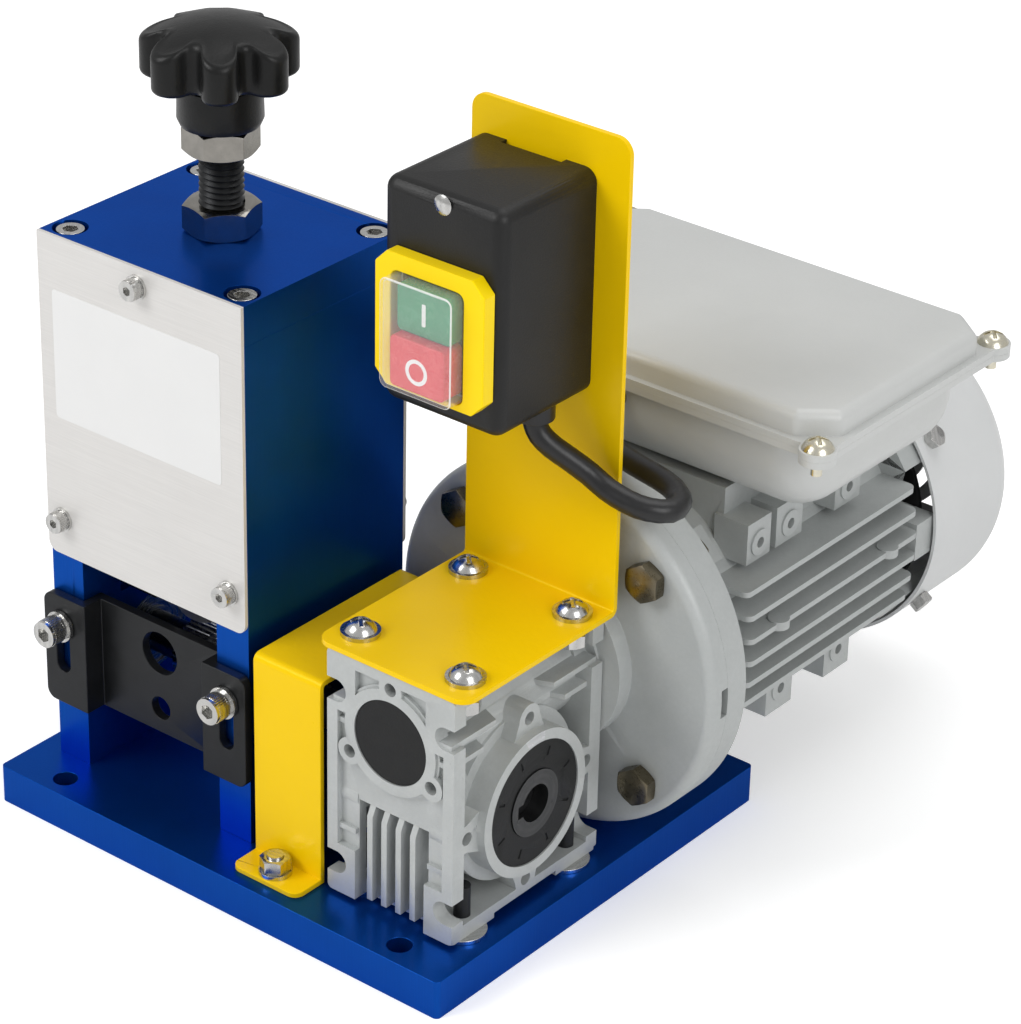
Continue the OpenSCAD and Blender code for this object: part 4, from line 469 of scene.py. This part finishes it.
class Grower:
    """Builds Geometry Nodes trees and turns their results into plain meshes."""

    @staticmethod
    def tree(name: str, inputs: dict[str, float | int]) -> tuple[Graph, bpy.types.Node]:
        """Starts a tree with named inputs.

        Args:
            name: The tree's name.
            inputs: Input names with their usual values.

        Returns:
            The graph and its group input node.
        """
        group = bpy.data.node_groups.new(name, "GeometryNodeTree")
        group.interface.new_socket("Geometry", in_out="INPUT",
                                   socket_type="NodeSocketGeometry")
        for key, value in inputs.items():
            kind = "NodeSocketInt" if isinstance(value, int) else "NodeSocketFloat"
            made = group.interface.new_socket(key, in_out="INPUT", socket_type=kind)
            made.default_value = value
        group.interface.new_socket("Material", in_out="INPUT",
                                   socket_type="NodeSocketMaterial")
        group.interface.new_socket("Geometry", in_out="OUTPUT",
                                   socket_type="NodeSocketGeometry")
        graph = Graph(group)
        return graph, graph.add("NodeGroupInput")

    @staticmethod
    def close(graph: Graph, source: bpy.types.Node, shape: bpy.types.NodeSocket) -> None:
        """Ends a tree in Realize Instances and Set Material.

        Args:
            graph: The graph.
            source: Its group input node.
            shape: The geometry so far.
        """
        real = graph.add("GeometryNodeRealizeInstances", {"Geometry": shape}).outputs[0]
        painted = graph.add("GeometryNodeSetMaterial", {
            "Geometry": real, "Material": source.outputs["Material"]}).outputs[0]
        graph.add("NodeGroupOutput", {"Geometry": painted})

    @staticmethod
    def grow(tree: bpy.types.NodeTree, values: dict[str, object],
             base: bpy.types.Mesh | None = None) -> bpy.types.Mesh:
        """Evaluates a tree.

        Args:
            tree: The tree.
            values: Its inputs by name.
            base: The mesh that it starts from.

        Returns:
            The plain mesh.
        """
        holder = bpy.data.objects.new("growing", base or bpy.data.meshes.new("growing"))
        bpy.context.scene.collection.objects.link(holder)
        live = holder.modifiers.new("grow", "NODES")
        live.node_group = tree
        for item in tree.interface.items_tree:
            if item.item_type == "SOCKET" and item.in_out == "INPUT" and item.name in values:
                live[item.identifier] = values[item.name]
        bpy.context.view_layer.update()
        graph = bpy.context.evaluated_depsgraph_get()
        mesh = bpy.data.meshes.new_from_object(holder.evaluated_get(graph))
        bpy.data.objects.remove(holder)
        return mesh


class ThreadMaker(Grower):
    """Plain rods with a helical ridge."""

    def __init__(self) -> None:
        """Builds the tree of a threaded rod that stands on the origin along +Z."""
        graph, source = self.tree("threaded_rod", {
            "Core": 0.0068, "Crest": 0.0079, "Pitch": 0.002, "Length": 0.03, "Sides": 48})
        put = source.outputs
        turns = graph.maths("DIVIDE", put["Length"], put["Pitch"])
        mid = graph.maths("SUBTRACT", put["Crest"], graph.maths("MULTIPLY", put["Pitch"], 0.5))
        spiral = graph.add("GeometryNodeCurveSpiral", {
            "Resolution": put["Sides"], "Rotations": turns, "Start Radius": mid,
            "End Radius": mid, "Height": put["Length"]})
        aligned = graph.add("GeometryNodeSetCurveNormal", {"Curve": spiral.outputs[0]})
        aligned.mode = "Z_UP"
        section = graph.add("GeometryNodeCurvePrimitiveCircle", {
            "Resolution": 4, "Radius": graph.maths("MULTIPLY", put["Pitch"], 0.5)})
        ridge = graph.add("GeometryNodeCurveToMesh", {
            "Curve": aligned.outputs[0], "Profile Curve": section.outputs[0],
            "Fill Caps": True})
        core = graph.add("GeometryNodeMeshCylinder", {
            "Vertices": put["Sides"], "Radius": put["Core"], "Depth": put["Length"]})
        lift = graph.add("ShaderNodeCombineXYZ", {
            "Z": graph.maths("MULTIPLY", put["Length"], 0.5)})
        raised = graph.add("GeometryNodeTransform", {
            "Geometry": core.outputs[0], "Translation": lift.outputs[0]})
        joined = graph.add("GeometryNodeJoinGeometry")
        graph.tree.links.new(ridge.outputs[0], joined.inputs[0])
        graph.tree.links.new(raised.outputs[0], joined.inputs[0])
        self.close(graph, source, joined.outputs[0])
        self.group = graph.tree

    def rod(self, crest: float, pitch: float, length: float, at: Matrix,
            material: bpy.types.Material) -> bpy.types.Mesh:
        """Makes a threaded rod.

        Args:
            crest: Radius over the thread.
            pitch: Height of one turn.
            length: Length of the rod.
            at: Where it stands.
            material: Its material.

        Returns:
            The mesh.
        """
        mesh = self.grow(self.group, {
            "Core": crest - 0.54 * pitch, "Crest": crest, "Pitch": pitch, "Length": length,
            "Sides": 48, "Material": material})
        mesh.transform(at)
        return mesh


class KnurlMaker(Grower):
    """Rings of fine ridges round screw heads."""

    def __init__(self) -> None:
        """Builds the tree that sets a ring of ridges on each point, along its facing."""
        graph, source = self.tree("knurled_heads", {
            "Radius": 0.0037, "Height": 0.003, "Lift": 0.0, "Ridges": 30, "Ridge": 0.0003})
        put = source.outputs
        circle = graph.add("GeometryNodeMeshCircle", {
            "Vertices": put["Ridges"], "Radius": put["Radius"]})
        ridge = graph.add("GeometryNodeMeshCylinder", {
            "Vertices": 6, "Radius": put["Ridge"], "Depth": put["Height"]})
        ring = graph.add("GeometryNodeInstanceOnPoints", {
            "Points": circle.outputs[0], "Instance": ridge.outputs[0]})
        up = graph.add("ShaderNodeCombineXYZ", {
            "Z": graph.maths("ADD", put["Lift"], graph.maths("MULTIPLY", put["Height"], 0.5))})
        raised = graph.add("GeometryNodeTransform", {
            "Geometry": ring.outputs[0], "Translation": up.outputs[0]})
        facing = graph.add("GeometryNodeInputNamedAttribute", {"Name": "facing"},
                           data_type="FLOAT_VECTOR")
        turn = graph.add("FunctionNodeAlignRotationToVector", {
            "Vector": facing.outputs[0]}, axis="Z")
        heads = graph.add("GeometryNodeInstanceOnPoints", {
            "Points": put["Geometry"], "Instance": raised.outputs[0],
            "Rotation": turn.outputs[0]})
        self.close(graph, source, heads.outputs[0])
        self.group = graph.tree

    def ridges(self, spots: Sequence[tuple[Triple, Triple]], radius: float, height: float,
               count: int, material: bpy.types.Material) -> bpy.types.Mesh:
        """Makes the ridges of several heads.

        Args:
            spots: Foot of each head and the way that it faces.
            radius: Radius of the heads.
            height: Height of the ridges.
            count: Ridges on each head.
            material: Their material.

        Returns:
            The mesh.
        """
        base = bpy.data.meshes.new("head_spots")
        base.from_pydata([p for p, _ in spots], [], [])
        facing = base.attributes.new("facing", "FLOAT_VECTOR", "POINT")
        for value, (_, way) in zip(facing.data, spots):
            value.vector = way
        return self.grow(self.group, {
            "Radius": radius, "Height": height, "Lift": 0.0003, "Ridges": count,
            "Ridge": radius * 0.055, "Material": material}, base)


def mesh_of(work: bmesh.types.BMesh, name: str) -> bpy.types.Mesh:
    """Turns a bmesh into a mesh with faces that point outwards.

    Args:
        work: The bmesh, freed here.
        name: The mesh's name.

    Returns:
        The mesh.
    """
    bmesh.ops.recalc_face_normals(work, faces=work.faces)
    mesh = bpy.data.meshes.new(name)
    work.to_mesh(mesh)
    work.free()
    mesh.shade_smooth()
    mesh.set_sharp_from_angle(angle=SHARP_ANGLE)
    return mesh


def plate(outline: Sequence[tuple[float, float]], low: float, high: float, axis: Axis,
          name: str) -> bpy.types.Mesh:
    """Makes a flat plate from an outline.

    Args:
        outline: Points in the plane across the axis.
        low: Lower end along the axis.
        high: Upper end along the axis.
        axis: The axis through the plate.
        name: The mesh's name.

    Returns:
        The mesh.
    """
    work = bmesh.new()
    rings = []
    for level in (low, high):
        ring = []
        for u, v in outline:
            place = [u, v]
            place.insert(axis.value, level)
            ring.append(work.verts.new(place))
        rings.append(ring)
    work.faces.new(rings[0])
    work.faces.new(rings[1])
    count = len(outline)
    for i in range(count):
        j = (i + 1) % count
        work.faces.new((rings[0][i], rings[0][j], rings[1][j], rings[1][i]))
    return mesh_of(work, name)


def rounded_outline(width: float, height: float, radius: float, centre: tuple[float, float],
                    steps: int = 8) -> list[tuple[float, float]]:
    """Gives the outline of a rectangle with round corners.

    Args:
        width: Its width.
        height: Its height.
        radius: Radius of the corners.
        centre: Its middle.
        steps: Points for each corner.

    Returns:
        The points, in order.
    """
    points = []
    for i, (sx, sy) in enumerate(((1, 1), (-1, 1), (-1, -1), (1, -1))):
        for k in range(steps + 1):
            angle = math.radians(90 * (i + k / steps))
            points.append((centre[0] + sx * (width / 2 - radius) + radius * math.cos(angle),
                           centre[1] + sy * (height / 2 - radius) + radius * math.sin(angle)))
    return points


@dataclass
class CuttingHead:
    """Blue frame with its covers and their blank label."""

    cover_face: float = -0.0703
    label_size: tuple[float, float] = (0.0785, 0.0495)
    label_corner: float = 0.0015
    label_at: tuple[float, float] = (-0.0492, 0.1810)
    label_t: float = 0.00012

    def build(self, shop: Workshop) -> None:
        """Finishes the frame plates, covers and blank label.

        Args:
            shop: The workshop.
        """
        shop.rounded("base_plate", "base_blue", BLUE, 0.0005)
        for node in ("head_side_left", "head_side_right", "head_top"):
            shop.rounded(node, "head_blue", BLUE, 0.0004)
        for node in ("front_cover", "back_cover"):
            shop.rounded(node, "satin_sheet", SHEET, 0.00025)
        self.label(shop)

    def label(self, shop: Workshop) -> None:
        """Puts a blank label on the front cover.

        Args:
            shop: The workshop.
        """
        outline = rounded_outline(*self.label_size, self.label_corner, self.label_at)
        mesh = plate(outline, self.cover_face - self.label_t, self.cover_face, Axis.Y,
                     "blank_label")
        shop.place(mesh, "blank_label", "machine_frame", [("label_white", LABEL)])


@dataclass
class Knob:
    """Star knob with soft lobes, its collar nut, the threaded screw and the lock nut."""

    axis: tuple[float, float] = (-0.0475, -0.0278)
    low: float = 0.2553 + 0.0099
    hub_h: float = 0.0163
    star_h: float = 0.0215
    rim_h: float = 0.0135
    lobes: int = 7
    turn: float = -47.0
    lobe_r: float = 0.0062
    over_lobes: float = 0.0276
    floor_share: float = 0.69
    fillet: float = 0.0034
    hub_r: float = 0.015
    thread_r: float = 0.0079
    thread_pitch: float = 0.0022
    flange_r: float = 0.011
    flange_h: float = 0.005

    def outline(self, angle: float) -> float:
        """Gives the star's radius in a direction.

        Args:
            angle: Direction in radians from the middle of a lobe.

        Returns:
            The radius.
        """
        step = 2 * math.pi / self.lobes
        local = abs((angle + step / 2) % step - step / 2)
        lobe_at = self.over_lobes - self.lobe_r
        floor = self.over_lobes * self.floor_share
        reach = floor - self.lobe_r
        valley_at = (lobe_at ** 2 - reach ** 2) / (2 * (lobe_at * math.cos(step / 2) - reach))
        valley_r = valley_at - floor
        valley = Vector((valley_at * math.cos(step / 2), valley_at * math.sin(step / 2)))
        lobe = Vector((lobe_at, 0.0))
        touch = lobe + (valley - lobe).normalized() * self.lobe_r
        if local <= math.atan2(touch.y, touch.x):
            inner = self.lobe_r ** 2 - (lobe_at * math.sin(local)) ** 2
            return lobe_at * math.cos(local) + math.sqrt(max(inner, 0.0))
        rest = step / 2 - local
        inner = valley_r ** 2 - (valley_at * math.sin(rest)) ** 2
        return valley_at * math.cos(rest) - math.sqrt(max(inner, 0.0))

    def dome(self, radius: float) -> float:
        """Gives the height of the star's domed top above its lower face.

        Args:
            radius: Distance from the axis.

        Returns:
            The height.
        """
        drop = self.star_h - self.rim_h
        sphere = (self.over_lobes ** 2 + drop ** 2) / (2 * drop)
        return self.star_h - sphere + math.sqrt(sphere ** 2 - radius ** 2)

    def rings(self) -> list[Callable[[float], tuple[float, float]]]:
        """Gives the star's profile as functions of direction.

        Returns:
            One function for each ring, from an angle to a radius and a height.
        """
        f = self.fillet
        made: list[Callable[[float], tuple[float, float]]] = []
        for t in (0.55, 1.0):
            made.append(lambda a, t=t: (
                self.hub_r * 0.8 + t * (self.outline(a) - f - self.hub_r * 0.8), 0.0))
        for k in range(1, 5):
            q = math.radians(k * 22.5)
            made.append(lambda a, q=q: (
                self.outline(a) - f * (1 - math.sin(q)), f * 0.7 * (1 - math.cos(q))))
        for k in range(0, 8):
            q = math.radians(k * 90 / 7)
            made.append(lambda a, q=q: (
                self.outline(a) - f * (1 - math.cos(q)),
                self.dome(self.outline(a) - f) - f * (1 - math.sin(q))))
        for t in (0.85, 0.7, 0.55, 0.4, 0.25, 0.12, 0.04):
            made.append(lambda a, t=t: (
                t * (self.outline(a) - f), self.dome(t * (self.outline(a) - f))))
        return made

    def star(self) -> bpy.types.Mesh:
        """Makes the star and hub.

        Returns:
            The mesh.
        """
        work = bmesh.new()
        around = 28 * self.lobes
        hub = [(self.hub_r * 0.82, 0.0), (self.hub_r * 0.93, 0.0006), (self.hub_r, 0.003),
               (self.hub_r * 0.985, self.hub_h * 0.7), (self.hub_r * 1.03, self.hub_h * 0.93)]
        rows = []
        for radius, height in hub:
            rows.append([self._point(work, 2 * math.pi * k / around, radius, height)
                         for k in range(around)])
        for ring in self.rings():
            row = []
            for k in range(around):
                angle = 2 * math.pi * k / around
                radius, height = ring(angle)
                row.append(self._point(work, angle, radius, height + self.hub_h))
            rows.append(row)
        for low, high in zip(rows, rows[1:]):
            for k in range(around):
                j = (k + 1) % around
                work.faces.new((low[k], low[j], high[j], high[k]))
        work.faces.new(rows[0])
        top = work.verts.new((*self.axis, self.low + self.hub_h + self.star_h))
        for k in range(around):
            work.faces.new((rows[-1][k], rows[-1][(k + 1) % around], top))
        return mesh_of(work, "star_knob")

    def _point(self, work: bmesh.types.BMesh, angle: float, radius: float,
               height: float) -> bmesh.types.BMVert:
        """Adds a point of the knob in cylinder coordinates about its axis.

        Args:
            work: The bmesh.
            angle: Direction from the middle of a lobe.
            radius: Distance from the axis.
            height: Height above the hub's foot.

        Returns:
            The new vertex.
        """
        turned = angle + math.radians(self.turn)
        return work.verts.new((self.axis[0] + radius * math.cos(turned),
                               self.axis[1] + radius * math.sin(turned), self.low + height))

    def build(self, shop: Workshop, threads: ThreadMaker) -> None:
        """Makes and places the knob's pieces.

        Args:
            shop: The workshop.
            threads: Makes threaded rods.
        """
        shop.place(self.star(), "star_knob_soft", "screw", [("knob_black", KNOB_BLACK)],
                   ("star_knob",))
        for node in ("knob_collar", "lock_nut"):
            shop.rounded(node, "nut_steel", NUT_STEEL, 0.0003)
        low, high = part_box("tension_screw")
        black = BLACK_STEEL.material("screw_black")
        foot = low.z + self.flange_h
        rod = threads.rod(self.thread_r, self.thread_pitch, high.z - low.z - self.flange_h,
                          Matrix.Translation((*self.axis, foot)), black)
        round_foot = rounded_outline(2 * self.flange_r, 2 * self.flange_r, self.flange_r,
                                     self.axis, 12)
        flange = plate(round_foot, low.z, foot, Axis.Z, "screw_flange")
        work = bmesh.new()
        work.from_mesh(rod)
        work.from_mesh(flange)
        mesh = bpy.data.meshes.new("tension_screw")
        work.to_mesh(mesh)
        work.free()
        mesh.shade_smooth()
        mesh.set_sharp_from_angle(angle=THREAD_SHARP_ANGLE)
        shop.place(mesh, "tension_screw_threaded", "screw", [("screw_black", BLACK_STEEL)],
                   ("tension_screw",))


@dataclass
class ScrewSet:
    """All screws, nuts and washers, with knurled heads where they are socket screws."""

    cover_spots: tuple[tuple[float, float], ...] = (
        (-0.0475, 0.219), (-0.0875, 0.1155), (-0.0075, 0.1155))
    cover_front: float = -0.0713
    cover_back: float = 0.0157
    guide_spots: tuple[tuple[float, float], ...] = ((-0.0875, 0.073), (-0.0075, 0.073))
    guide_face: float = -0.0760
    cover_head: tuple[float, float, int] = (0.0037, 0.0031, 32)
    guide_head: tuple[float, float, int] = (0.005, 0.0046, 40)
    edge: float = 0.0002

    def build(self, shop: Workshop, knurls: KnurlMaker) -> None:
        """Finishes the fasteners.

        Args:
            shop: The workshop.
            knurls: Makes the ridges of socket heads.
        """
        for node in ("head_screws", "cover_screws", "guide_screws", "retaining_screws",
                     "shaft_cover_nuts", "bracket_screws", "switch_box_screw",
                     "cowl_screws", "foot_washers"):
            shop.rounded(node, "fastener_zinc", ZINC, self.edge)
        shop.rounded("flange_bolts", "bolt_brass_zinc", BRASS_ZINC, self.edge)
        shop.rounded("lid_screws", "screw_pale_zinc", PALE_ZINC, self.edge)
        shop.rounded("gearbox_bolts", "bolt_black", BLACK_STEEL, self.edge)
        zinc = ZINC.material("fastener_zinc")
        spots = [((x, self.cover_front, z), (0.0, -1.0, 0.0)) for x, z in self.cover_spots]
        spots += [((x, self.cover_back, z), (0.0, 1.0, 0.0)) for x, z in self.cover_spots]
        small = knurls.ridges(spots, *self.cover_head, zinc)
        shop.place(small, "cover_screw_knurls", "machine_frame", [("fastener_zinc", ZINC)])
        spots = [((x, self.guide_face, z), (0.0, -1.0, 0.0)) for x, z in self.guide_spots]
        large = knurls.ridges(spots, *self.guide_head, zinc)
        shop.place(large, "guide_screw_knurls", "machine_frame", [("fastener_zinc", ZINC)])


@dataclass
class CuttingParts:
    """Wire guide, blade carriage, blade and feed roller."""

    edge: float = 0.0004

    def build(self, shop: Workshop) -> None:
        """Finishes the parts that meet the wire.

        Args:
            shop: The workshop.
        """
        shop.rounded("wire_guide", "guide_black", BLACK_STEEL, self.edge)
        shop.rounded("blade", "blade_steel", BLADE_STEEL, 0.0)
        shop.rounded("feed_roller", "roller_steel", STEEL, 0.0)
        shop.rounded("feed_shaft", "shaft_dark_steel", DARK_STEEL, 0.0003)
        shop.dress("plain_steel", STEEL, "blade_carriage", "retaining_plate", "blade_shaft",
                   "blade_bearings", "ball_bearings", "drive_key", "rotor", "worm")
        shop.dress("hub_dark_steel", DARK_STEEL, "output_hub")
        shop.dress("blade_nut_black", BLACK_STEEL, "blade_nut")
        shop.dress("wheel_bronze", BRONZE, "worm_wheel")


@dataclass
class Gearbox:
    """Finned worm gearbox with its cap, seals and yellow sheet parts."""

    axis: Triple = (0.0676, -0.0327, 0.0566)
    ear_out: float = 0.028
    ring: tuple[float, float] = (0.022, 0.0315)

    def machined(self, face: bpy.types.MeshPolygon) -> bool:
        """Tells whether a face of the housing was machined.

        Args:
            face: The face.

        Returns:
            True for the rings round the two outputs.
        """
        at = face.center
        ring = math.hypot(at.y - self.axis[1], at.z - self.axis[2])
        outer = abs(at.x - self.axis[0]) > self.ear_out - 1e-5
        return abs(face.normal.x) > 0.99 and outer and self.ring[0] < ring < self.ring[1]

    def build(self, shop: Workshop) -> None:
        """Finishes the gearbox.

        Args:
            shop: The workshop.
        """
        shop.rounded("gearbox_housing", "gear_cast", GEAR_CAST, 0.0004,
                     second=("gear_machined", MACHINED), pick=self.machined)
        shop.rounded("worm_cap", "cap_black", SEAL_BLACK, 0.0003)
        shop.rounded("output_seals", "seal_black", SEAL_BLACK, 0.0002)
        shop.rounded("shaft_cover", "cover_yellow", YELLOW, 0.0003)
        shop.rounded("switch_bracket", "bracket_yellow", YELLOW, 0.0003)


@dataclass
class Motor:
    """Flanged motor with its fins, cowl and fan."""

    edge: float = 0.0005

    def build(self, shop: Workshop) -> None:
        """Finishes the motor.

        Args:
            shop: The workshop.
        """
        for node in ("input_flange", "motor_flange", "stator_housing", "rear_end_shield"):
            shop.rounded(node, "motor_cast", MOTOR_CAST, self.edge)
        shop.rounded("fan_cowl", "cowl_paint", COWL_PAINT, 0.0003)
        shop.rounded("fan", "fan_black", KNOB_BLACK, 0.0003)
        shop.dress("winding_copper", COPPER, "stator_core")


@dataclass
class TerminalBox:
    """Grey terminal box with its lid, and the cable that enters it."""

    def build(self, shop: Workshop) -> None:
        """Finishes the box.

        Args:
            shop: The workshop.
        """
        shop.rounded("terminal_box", "box_grey", BOX_PAINT, 0.0004, smooth=40)
        shop.rounded("terminal_lid", "lid_grey", BOX_PAINT, 0.0004, smooth=40)
        shop.rounded("cable_glands", "gland_black", CABLE_BLACK, 0.0004)
        shop.rounded("motor_cable", "cable_black", CABLE_BLACK, 0.0, smooth=60)
        shop.dress("capacitor_black", SWITCH_BLACK, "capacitor", "contact_block")


@dataclass
class SwitchUnit:
    """Black switch box with its yellow bezel, clear boot and two buttons."""

    start_face: float = -0.0495
    stop_face: float = -0.0530
    bar: tuple[float, float] = (0.0016, 0.0080)
    bar_at: tuple[float, float] = (0.06115, 0.2352)
    ring: tuple[float, float] = (0.0046, 0.0032)
    ring_at: tuple[float, float] = (0.06115, 0.2160)
    mark_t: float = 0.0001
    ring_sides: int = 48

    def build(self, shop: Workshop) -> None:
        """Finishes the switch.

        Args:
            shop: The workshop.
        """
        shop.rounded("switch_box", "switch_black", SWITCH_BLACK, 0.0003, smooth=40)
        shop.rounded("switch_bezel", "bezel_yellow", YELLOW_GLOSS, 0.0006)
        boot = shop.rounded("button_boot", "boot_clear", CLEAR, 0.00038,
                            second=("boot_edge_highlight", CLEAR_EDGE_HIGHLIGHT), pick=lambda face: False)
        # The broken edges take the second finish, which is a painted highlight along the boot's
        # edges.
        boot.modifiers["broken_edges"].material = 1
        shop.rounded("start_button", "button_green", GREEN, 0.0006)
        shop.rounded("stop_button", "button_red", RED, 0.0006)
        bar = plate(rounded_outline(*self.bar, 0.0004, self.bar_at, 3),
                    self.start_face - self.mark_t, self.start_face, Axis.Y, "start_mark")
        shop.place(bar, "start_mark", "start_button_body", [("mark_white", MARK_WHITE)])
        shop.place(self.circle(), "stop_mark", "stop_button_body",
                   [("mark_white", MARK_WHITE)])

    def circle(self) -> bpy.types.Mesh:
        """Makes the ring mark of the stop button.

        Returns:
            The mesh.
        """
        work = bmesh.new()
        rows = []
        for radius, level in ((self.ring[0], 0.0), (self.ring[0], -self.mark_t),
                              (self.ring[1], -self.mark_t), (self.ring[1], 0.0)):
            rows.append([work.verts.new((
                self.ring_at[0] + radius * math.cos(2 * math.pi * k / self.ring_sides),
                self.stop_face + level,
                self.ring_at[1] + radius * math.sin(2 * math.pi * k / self.ring_sides)))
                for k in range(self.ring_sides)])
        for low, high in zip(rows, rows[1:] + rows[:1]):
            for k in range(self.ring_sides):
                j = (k + 1) % self.ring_sides
                work.faces.new((low[k], low[j], high[j], high[k]))
        return mesh_of(work, "stop_mark")


@dataclass
class Studio:
    """Pale floor, soft lights and the camera."""

    camera_at: Triple = (0.76848, -0.89519, 0.76548)
    right: Triple = (0.7713367, 0.6362455, 0.01521061)
    up: Triple = (-0.30799442, 0.35226136, 0.88377111)
    lens: float = 133.334
    shift: tuple[float, float] = (0.03746, -0.04872)
    lamps: list[tuple[Triple, float, float]] = field(default_factory=lambda: [
        ((-0.9, -1.5, 1.5), 24.0, 1.1), ((1.7, -0.5, 1.1), 13.0, 1.0),
        ((0.2, 0.6, 2.0), 12.0, 1.4)])

    def build(self) -> None:
        """Makes the whole stage."""
        self.camera()
        self.floor()
        self.light()

    def camera(self) -> None:
        """Sets the camera at the photograph's place and angle."""
        data = bpy.data.cameras.new("camera")
        data.sensor_width = 36.0
        data.lens = self.lens
        data.shift_x, data.shift_y = self.shift
        data.clip_start, data.clip_end = 0.05, 50.0
        camera = bpy.data.objects.new("camera", data)
        bpy.context.scene.collection.objects.link(camera)
        right, up = Vector(self.right), Vector(self.up)
        back = right.cross(up)
        turn = Matrix((right, up, back)).transposed().to_4x4()
        camera.matrix_world = Matrix.Translation(self.camera_at) @ turn
        bpy.context.scene.camera = camera

    def floor(self) -> None:
        """Lays a wide pale floor that shows almost white and keeps the shadow."""
        work = bmesh.new()
        bmesh.ops.create_grid(work, x_segments=1, y_segments=1, size=8.0)
        mesh = bpy.data.meshes.new("floor")
        work.to_mesh(mesh)
        work.free()
        floor = bpy.data.objects.new("floor", mesh)
        bpy.context.scene.collection.objects.link(floor)
        made = bpy.data.materials.new("floor_white")
        made.use_nodes = True
        graph = Graph(made.node_tree)
        path = graph.add("ShaderNodeLightPath")
        matt = graph.add("ShaderNodeBsdfDiffuse", {"Color": (0.92, 0.92, 0.92, 1.0)})
        glow = graph.add("ShaderNodeEmission", {"Color": (1.0, 1.0, 1.0, 1.0),
                                                "Strength": 0.32})
        both = graph.add("ShaderNodeAddShader", {0: matt.outputs[0], 1: glow.outputs[0]})
        mixed = graph.add("ShaderNodeMixShader", {
            0: path.outputs["Is Camera Ray"], 1: matt.outputs[0], 2: both.outputs[0]})
        graph.add("ShaderNodeOutputMaterial", {"Surface": mixed.outputs[0]})
        mesh.materials.append(made)

    def light(self) -> None:
        """Hangs the soft lamps and sets the sky."""
        for number, (place, power, size) in enumerate(self.lamps):
            data = bpy.data.lights.new(f"lamp_{number}", "AREA")
            data.energy = power
            data.size = size
            lamp = bpy.data.objects.new(f"lamp_{number}", data)
            bpy.context.scene.collection.objects.link(lamp)
            lamp.location = place
            aim = Vector((0.0, 0.0, 0.12)) - Vector(place)
            lamp.rotation_euler = aim.to_track_quat("-Z", "Y").to_euler()
        world = bpy.data.worlds.new("studio")
        bpy.context.scene.world = world
        world.use_nodes = True
        graph = Graph(world.node_tree)
        path = graph.add("ShaderNodeLightPath")
        seen = graph.maths("MAXIMUM", path.outputs["Is Camera Ray"],
                           path.outputs["Is Transmission Ray"])
        soft = graph.add("ShaderNodeBackground", {"Color": (1.0, 1.0, 1.0, 1.0),
                                                  "Strength": 0.44})
        glossy = graph.add("ShaderNodeBackground", {"Color": (1.0, 1.0, 1.0, 1.0),
                                                    "Strength": 0.60})
        white = graph.add("ShaderNodeBackground", {"Color": (1.0, 1.0, 1.0, 1.0),
                                                   "Strength": 1.0})
        first = graph.add("ShaderNodeMixShader", {
            0: path.outputs["Is Glossy Ray"], 1: soft.outputs[0], 2: glossy.outputs[0]})
        last = graph.add("ShaderNodeMixShader", {
            0: seen, 1: first.outputs[0], 2: white.outputs[0]})
        graph.add("ShaderNodeOutputWorld", {"Surface": last.outputs[0]})
        bpy.context.scene.view_settings.view_transform = "Standard"


def main() -> None:
    """Builds the finished machine and its stage."""
    logging.basicConfig(level=logging.INFO, format="%(name)s %(message)s")
    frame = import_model()
    Studio().build()
    shop = Workshop(frame)
    threads = ThreadMaker()
    knurls = KnurlMaker()
    CuttingHead().build(shop)
    Knob().build(shop, threads)
    CuttingParts().build(shop)
    Gearbox().build(shop)
    Motor().build(shop)
    TerminalBox().build(shop)
    SwitchUnit().build(shop)
    ScrewSet().build(shop, knurls)


if __name__ == "__main__":
    main()
